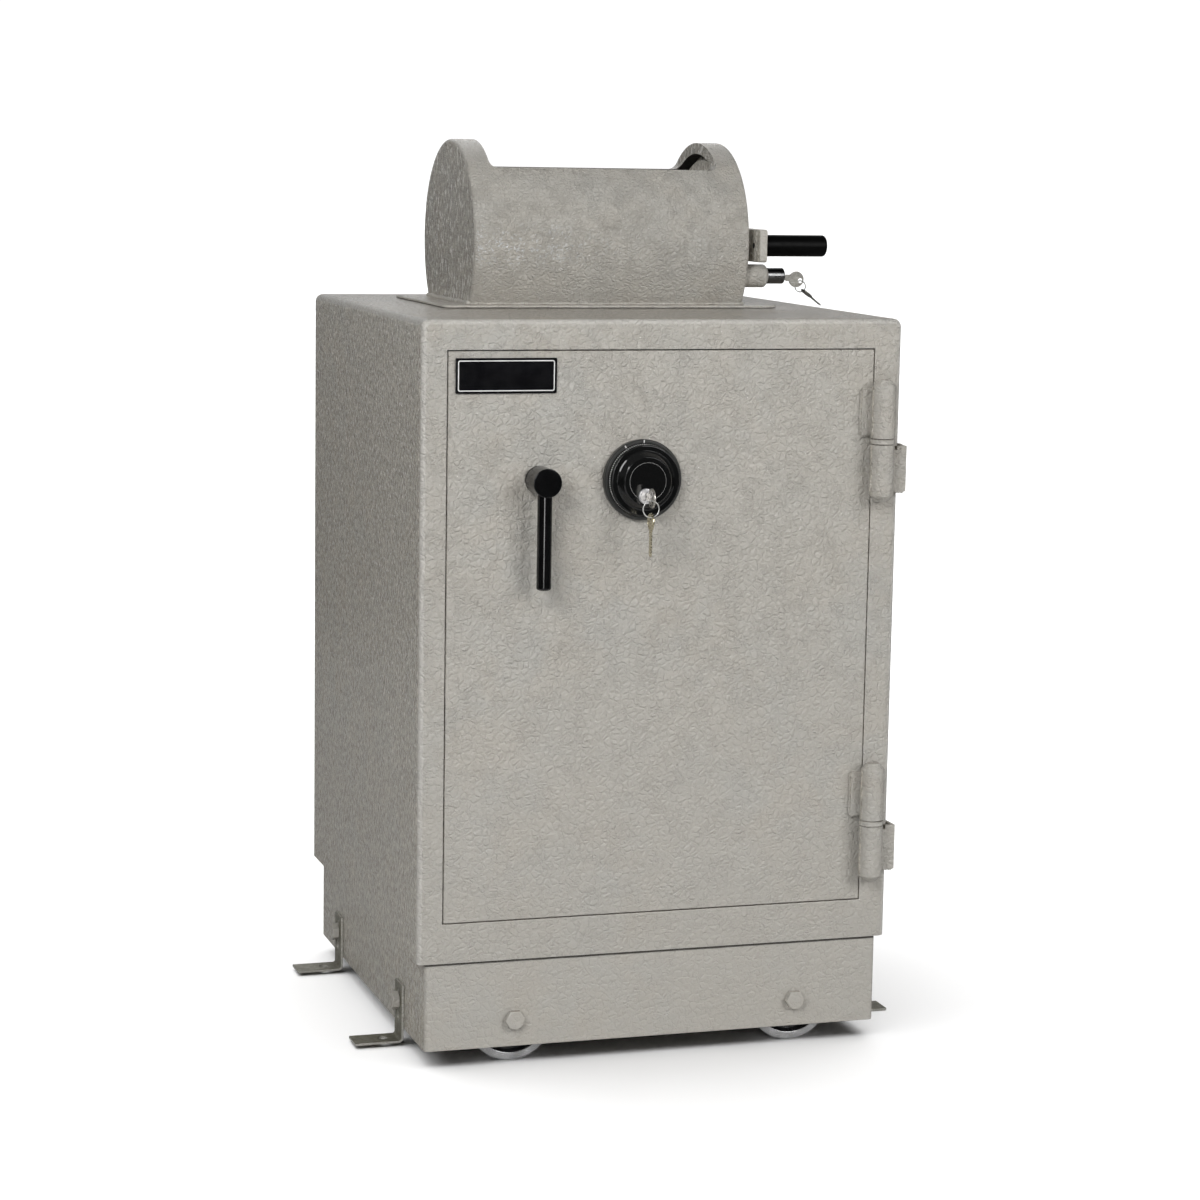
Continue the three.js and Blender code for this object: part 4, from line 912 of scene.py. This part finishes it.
# ---------------------------------------------------------------- keys
def flat_key(R, thick, neck_w, neck_l, blade_w, blade_l, hole_at, hole_r, cuts=True, rim=0.35, neck_v=0.0, blade_v=0.0):
    """A flat key in the u-v plane: bow centred on the origin, blade along +u. Returns a bmesh, thickness along w."""
    bow = prism(ring_pts(0, 0, R, 56), "z", -thick / 2, thick / 2)
    bow = round_edges(bow, 0.3, 2)
    sink = [lathe(fillet([(0, thick / 2 - rim), (R - 1.7, thick / 2 - rim, 0.2), (R - 1.2, thick / 2 + 0.5), (0, thick / 2 + 0.5)], 2, closed=False), "z", (0, 0, 0), 56),
            lathe(fillet([(0, -thick / 2 + rim), (R - 1.7, -thick / 2 + rim, 0.2), (R - 1.2, -thick / 2 - 0.5), (0, -thick / 2 - 0.5)], 2, closed=False), "z", (0, 0, 0), 56)]
    bow = cut(bow, *sink)
    neck = [(R - 2.5, -neck_w / 2), (R + neck_l * 0.55, -neck_w / 2, 0.5), (R + neck_l * 0.55, -neck_w * 0.36, 0.3), (R + neck_l, -neck_w * 0.36), (R + neck_l, neck_w * 0.36), (R + neck_l * 0.55, neck_w * 0.36, 0.3), (R + neck_l * 0.55, neck_w / 2, 0.5), (R - 2.5, neck_w / 2)]
    neck = [(q[0], q[1] + neck_v, *q[2:]) for q in neck]
    body = round_edges(prism(fillet(neck, 3), "z", -thick * 0.44, thick * 0.44), 0.2, 2)
    x0, x1 = R + neck_l - 1, R + neck_l + blade_l
    top = [(x0, -blade_w / 2), (x1 - 2.5, -blade_w / 2, 0.4), (x1, -blade_w * 0.1, 0.4)]
    if cuts:
        n = max(4, int(blade_l / 3.2))
        edge = []
        rnd = random.Random(int(blade_l * 10))
        for k in range(n):
            xa = x1 - 3 - k * (blade_l - 5) / n
            edge += [(xa, blade_w * 0.5 - rnd.choice((0.5, 1.1, 1.6))), (xa - (blade_l - 5) / n * 0.5, blade_w * 0.5)]
        top += edge
    else:
        top += [(x1 - 2.5, blade_w / 2, 0.4)]
    top += [(x0, blade_w / 2)]
    top = [(q[0], q[1] + blade_v, *q[2:]) for q in top]
    blade = prism(fillet(top, 2), "z", -thick * 0.40, thick * 0.40)
    blade = cut(blade, box(x0 + 1.5, x1 + 2, blade_v - blade_w * 0.12, blade_v + blade_w * 0.12, thick * 0.18, thick))
    key = join(bow, body, blade)
    if hole_r:
        key = cut(key, cyl(hole_r, -5, 5, "z", (hole_at[0], hole_at[1], 0), 36))
    return key


def put(bm, origin, u, v):
    """Places a flat key: its u axis along u and its v axis along v, both in the measuring frame."""
    u = Vector(u).normalized()
    v = (Vector(v) - Vector(v).dot(u) * u).normalized()
    w = u.cross(v)
    for p in bm.verts:
        p.co = Vector(origin) + u * p.co.x + v * p.co.y + w * p.co.z
    bmesh.ops.recalc_face_normals(bm, faces=bm.faces)
    return bm


# Dial key plug: chrome face with a keyway and a raised collar; the key stands out of it.
c = (PLX, 0, PLZ)
prof = fillet([(0, f - 1.7), (6.4, f - 1.7, 0.5), (6.9, f - 2.4, 0.4), (8.0, f - 2.4, 0.7), (8.5, f - 1.0, 0.3), (8.5, f + 13.6), (0, f + 13.6)], 4, closed=False)
bm = cut(lathe(prof, "y", c, 72), box(PLX - 1.3, PLX + 1.3, f - 4, f + 12, PLZ - 4, PLZ + 4))
piece("dial_key_plug_skin", bm, CHROME, "dial_plug", "dial_key_plug", sharp=35)
bm = flat_key(10.5, 2.2, 8.4, 3.2, 7.0, 20.0, (-1.0, 3.5), 3.1)
piece("dial_key_skin", put(bm, (PLX, f - 20, PLZ), (0, 1, 0), (0, 0, -1)), NICKEL, "dial_plug", "dial_key", sharp=35)
piece("dial_key_ring_skin", torus(9, 0.62, (PLX - 1, f - 21, 499.5), (0, 1, 0), 72, 14), WIRE, "dial_keys", "dial_key_ring")
bm = flat_key(9.5, 2.0, 7.0, 3.0, 6.6, 26.0, (-5.0, 0), 3.0)
piece("dial_spare_key_skin", put(bm, (PLX - 1, f - 21, 486), (0, 0, -1), (0, 1, 0)), BRASSY, "dial_keys", "dial_spare_key", sharp=35)

# Deposit lock: plug, key, ring and the spare key leaning on the cabinet's top.
c = (0, LOCKY, LOCKZ)
prof = fillet([(0, 471), (5.7, 471), (5.7, 494.6, 0.5), (4.6, 495.2, 0.3), (0, 495.2)], 3, closed=False)
bm = cut(lathe(prof, "x", c, 56), box(473, 500, LOCKY - 1.3, LOCKY + 1.3, LOCKZ - 5, LOCKZ + 4))
piece("deposit_lock_plug_skin", bm, CHROME, "deposit_plug", "deposit_lock_plug", sharp=35)
kz = 732.5
bm = flat_key(9.3, 2.0, 7.6, 7.0, 7.2, 22.0, (-5.2, 1.5), 2.9, neck_v=-1.75, blade_v=-3.5)
piece("deposit_key_skin", put(bm, (511.8, LOCKY, kz), (-1, 0, 0), (0, 0, -1)), KEY_GREY, "deposit_plug", "deposit_key", sharp=35)
rc = Vector((517.2, LOCKY, 724.3))
ang = math.radians(-40)
piece("deposit_key_ring_skin", torus(6.5, 0.6, rc, (-math.sin(ang), math.cos(ang), 0), 64, 12), DARK_WIRE, "deposit_keys", "deposit_key_ring")
phi = math.radians(-50)
at = rc + Vector((math.cos(phi) * math.cos(ang), math.cos(phi) * math.sin(ang), math.sin(phi))) * 6.5
sl = math.radians(38)
along = Vector((math.cos(sl), 0, -math.sin(sl)))
bm = flat_key(8.0, 1.6, 5.6, 1.6, 5.6, 13.4, (-5.0, 0), 2.4)
piece("deposit_spare_key_skin", put(bm, at + along * 5.0, along, (0, 1, 0)), DARK_KEY, "deposit_keys", "deposit_spare_key", sharp=35)

# ---------------------------------------------------------------- drum, crank and grip
c = (0, AXY, AXZ)


def drum():
    r, wall, disc, x0, x1 = 102.8, 5.0, 6.0, 127.7, 429.3
    tube = cut(cyl(r, x0, x1, "x", c, 144, 0.6, 0.6, phase=PI / 144), cyl(r - wall, x0 - 2, x1 + 2, "x", c, 144, phase=PI / 144), box(x0 - 5, x1 + 5, AXY - r - 5, AXY + r + 5, 850, AXZ + r + 5))
    round_edges(tube, 0.9, 2, lambda m, d: abs(m.z - 850) < 0.02)
    discs = [cyl(r - wall - 0.6, x0 + 0.2, x0 + disc, "x", c, 144, 0.8, 0.8, phase=PI / 144), cyl(r - wall - 0.6, x1 - disc, x1 - 0.2, "x", c, 144, 0.8, 0.8, phase=PI / 144)]
    holes = [cyl(4.6, x1 - 13, x1 + 2, "x", (0, AXY + k * (LOCKY - AXY), AXZ + k * (LOCKZ - AXZ)), 24) for k in (1, -1)]
    shafts = [cyl(12.5, 118, x0 + disc - 1, "x", c, 64, 0.5), cyl(12.5, x1 - disc + 1, 464.4, "x", c, 64, 0, 1.2)]
    return merge(cut(tube, *holes), cut(discs[1], *holes2()), discs[0], *shafts)


def holes2():
    return [cyl(4.6, 416, 431, "x", (0, AXY + k * (LOCKY - AXY), AXZ + k * (LOCKZ - AXZ)), 24) for k in (1, -1)]


piece("deposit_drum_skin", drum(), PAINT_FINE, "drum", "deposit_drum", sharp=40)

ax0, ax1 = 453.5, 462.9
arm = [(206.6, 753, 4.0)] + [(AXY + 19 * math.cos(a), AXZ + 19 * math.sin(a)) for a in (-PI / 2 + PI * k / 24 for k in range(25))] + [(206.6, 791, 4.0)]
bm = prism(fillet(arm, 6), "x", ax0, ax1)
bm = join(bm, cyl(17, HX1 + 1.2, ax0 + 1, "x", c, 72, 0.6))
bm = cut(bm, cyl(12.9, HX1, ax1 + 5, "x", c, 64), cyl(3.4, ax0 - 2, ax0 + 4, "x", (0, 227.7, AXZ), 36))
bm = round_edges(bm, 1.4, 4, lambda m, d: abs(m.x - ax1) < 0.05 or (abs(m.x - ax0) < 0.05 and math.hypot(m.y - AXY, m.z - AXZ) > 18 and math.hypot(m.y - 227.7, m.z - AXZ) > 4.5), 30)
# The pin hole's walls take the near-black painted shade.
paint_faces(bm, lambda cc, nn: math.hypot(cc.y - 227.7, cc.z - AXZ) < 3.6 and cc.x < ax0 + 4.5 and cc.x > ax0 + 0.2, 1)
stud = cyl(5, ax0 + 5, 527.5, "x", (0, 227.7, AXZ), 36, 0, 0.6)
piece("crank_arm_skin", merge(bm, stud), [PAINT_FINE, HOLE_SHADE], "drum", "crank_arm", sharp=40)
gx0, gx1 = ax1 + 0.4, 541.5
prof = [(5.3, gx0)] + fillet([(5.3, gx0), (12.5, gx0, 0.7), (12.5, gx1, 3.8), (0, gx1)], 8, closed=False)[1:] + [(0, gx1 - 13), (5.3, gx1 - 13)]
piece("crank_grip_skin", lathe(prof, "x", (0, 227.7, AXZ), 96, closed=True), SATIN, "grip", "crank_grip", sharp=45)

# ---------------------------------------------------------------- CAD nodes that stay: inside pieces
LOOKS = {"steel": STEEL, "bright_steel": BRIGHT, "bronze": BRONZE, "paint": PAINT_FINE}
slots = {s["node"]: s["material_slot"] for s in frame["record"]["subparts"]}
for name, ob in frame["nodes"].items():
    if ob.hide_render:
        continue
    look = LOOKS.get(slots[name], STEEL)
    ob.data.materials.clear()
    ob.data.materials.append(look)

# ---------------------------------------------------------------- studio
def look_at_camera():
    yaw, pitch, roll = math.radians(17.49), math.radians(8.46), math.radians(0.96)
    fwd = Vector((math.sin(yaw) * math.cos(pitch), math.cos(yaw) * math.cos(pitch), -math.sin(pitch)))
    right = Vector((math.cos(yaw), -math.sin(yaw), 0))
    up = right.cross(fwd)
    R = right * math.cos(roll) + up * math.sin(roll)
    U = -right * math.sin(roll) + up * math.cos(roll)
    cam = bpy.data.cameras.new("camera")
    cam.sensor_width, cam.lens = 36.0, 91.47
    cam.clip_start, cam.clip_end = 0.05, 100
    ob = bpy.data.objects.new("camera", cam)
    scene.collection.objects.link(ob)
    m = Matrix((R, U, -fwd)).transposed().to_4x4()
    m.translation = Vector((-1.05684, -3.36655, 1.00152))
    ob.matrix_world = m
    scene.camera = ob
    return ob


camera = look_at_camera()


def floor(name, z, shade, seen, radius):
    """Plain white floor. Two are needed: one that the camera sees, and one that only throws light back up."""
    n = Net(name)
    lo, hi = shade
    n.shade(color=n.mix(n.noise(3, 3, 0.5), (lo, lo, lo, 1), (hi, hi, hi, 1)), rough=n.ramp(n.noise(8, 3, 0.5), 0.3, 0.7, 0.55, 0.7), spec=0.1)
    bm = bmesh.new()
    bmesh.ops.create_circle(bm, cap_ends=True, segments=96, radius=radius)
    me = bpy.data.meshes.new(name)
    bm.to_mesh(me)
    bm.free()
    ob = bpy.data.objects.new(name, me)
    ob.data.materials.append(n.mat)
    ob.location.z = z
    scene.collection.objects.link(ob)
    ob.visible_camera = seen
    ob.visible_diffuse = ob.visible_glossy = not seen
    ob.visible_shadow = False
    return ob


stage = floor("floor", 0.0, (0.90, 0.92), True, 60)
bounce = floor("floor_bounce", -0.001, (0.64, 0.68), False, 2.6)


def backdrop():
    """White wall far behind, for the camera only."""
    n = Net("backdrop")
    n.t.nodes.remove(n.bsdf)
    em = n.node("ShaderNodeEmission", {"Color": n.mix(n.noise(0.2, 2, 0.5), (1, 1, 1, 1), (0.985, 0.985, 0.985, 1)), "Strength": 1.08})
    n.t.links.new(em.outputs[0], n.out.inputs[0])
    bm = bmesh.new()
    vs = [bm.verts.new(p) for p in ((-70, 55, -12), (90, 35, -12), (90, 35, 40), (-70, 55, 40))]
    bm.faces.new(vs)
    me = bpy.data.meshes.new("backdrop")
    bm.to_mesh(me)
    bm.free()
    ob = bpy.data.objects.new("backdrop", me)
    ob.data.materials.append(n.mat)
    scene.collection.objects.link(ob)
    ob.visible_diffuse = ob.visible_glossy = ob.visible_shadow = False
    return ob


wall = backdrop()


def area(name, az, el, dist, size, power, aim=(0, 0, 0.5), size_y=None, color=(1, 1, 1), spread=180):
    """Soft light at an azimuth (0 in front, positive towards +X) and elevation, in degrees."""
    li = bpy.data.lights.new(name, "AREA")
    li.shape, li.size, li.size_y = "RECTANGLE", size, size_y or size
    li.energy, li.color, li.spread = power, color, math.radians(spread)
    ob = bpy.data.objects.new(name, li)
    a, e = math.radians(az), math.radians(el)
    pos = Vector(aim) + Vector((math.sin(a) * math.cos(e), -math.cos(a) * math.cos(e), math.sin(e))) * dist
    ob.location = pos
    ob.rotation_euler = (Vector(aim) - pos).to_track_quat("-Z", "Y").to_euler()
    scene.collection.objects.link(ob)
    return ob


key = area("key", -40, 27, 4.0, 1.6, 75)
fill = area("fill", 30, 21, 4.5, 2.2, 86)
back = area("back", 172, 30, 4.5, 2.4, 34)
strip = area("strip", -18, 3, 4.2, 0.9, 31, size_y=1.5)
strip.visible_diffuse = False

# The visible floor has a light of its own, so that it stays white up to the horizon, with a soft shadow round the safe.
li = bpy.data.lights.new("floor_sun", "SUN")
li.energy, li.angle = 4.65, math.radians(110)
over = bpy.data.objects.new("floor_sun", li)
over.rotation_euler = (math.radians(-12), math.radians(-8), 0)
scene.collection.objects.link(over)
only = bpy.data.collections.new("floor_only")
only.objects.link(stage)
over.light_linking.receiver_collection = only
others = bpy.data.collections.new("all_but_floor")
others.objects.link(stage)
others.collection_objects[0].light_linking.link_state = "EXCLUDE"
for lamp in (key, fill, back, strip):
    lamp.light_linking.receiver_collection = others

# Studio walls: white low down behind the safe, dimmer round the rest and overhead.
world = bpy.data.worlds.new("studio")
scene.world = world
world.use_nodes = True
t = world.node_tree
t.nodes.clear()
wo = t.nodes.new("ShaderNodeOutputWorld")
bg = t.nodes.new("ShaderNodeBackground")
tc = t.nodes.new("ShaderNodeTexCoord")
sep = t.nodes.new("ShaderNodeSeparateXYZ")
t.links.new(tc.outputs["Generated"], sep.inputs[0])


def step(socket, lo, hi, a=0.0, b=1.0):
    m = t.nodes.new("ShaderNodeMapRange")
    m.interpolation_type = "SMOOTHSTEP"
    m.inputs["From Min"].default_value, m.inputs["From Max"].default_value = lo, hi
    m.inputs["To Min"].default_value, m.inputs["To Max"].default_value = a, b
    t.links.new(socket, m.inputs["Value"])
    return m.outputs[0]


def both_of(a, b, op="MULTIPLY"):
    m = t.nodes.new("ShaderNodeMath")
    m.operation = op
    for k, v in enumerate((a, b)):
        if isinstance(v, (int, float)):
            m.inputs[k].default_value = v
        else:
            t.links.new(v, m.inputs[k])
    return m.outputs[0]


BEHIND, ROUND, ABOVE = 0.53, 0.20, 0.14
low = step(sep.outputs["Z"], 0.06, 0.15, 1.0, 0.0)
rear = step(sep.outputs["Y"], 0.62, 0.82)
glow = both_of(both_of(low, rear), BEHIND - ROUND)
glow = both_of(glow, both_of(low, ROUND - ABOVE), "ADD")
glow = both_of(glow, ABOVE, "ADD")
glow = both_of(glow, step(sep.outputs["Z"], -0.05, -0.02, 0.03, 1.0))
t.links.new(glow, bg.inputs["Color"])
bg.inputs["Strength"].default_value = 1.0
t.links.new(bg.outputs[0], wo.inputs[0])
scene.view_settings.view_transform = "Standard"
scene.view_settings.look = "None"
scene.cycles.use_denoising = True
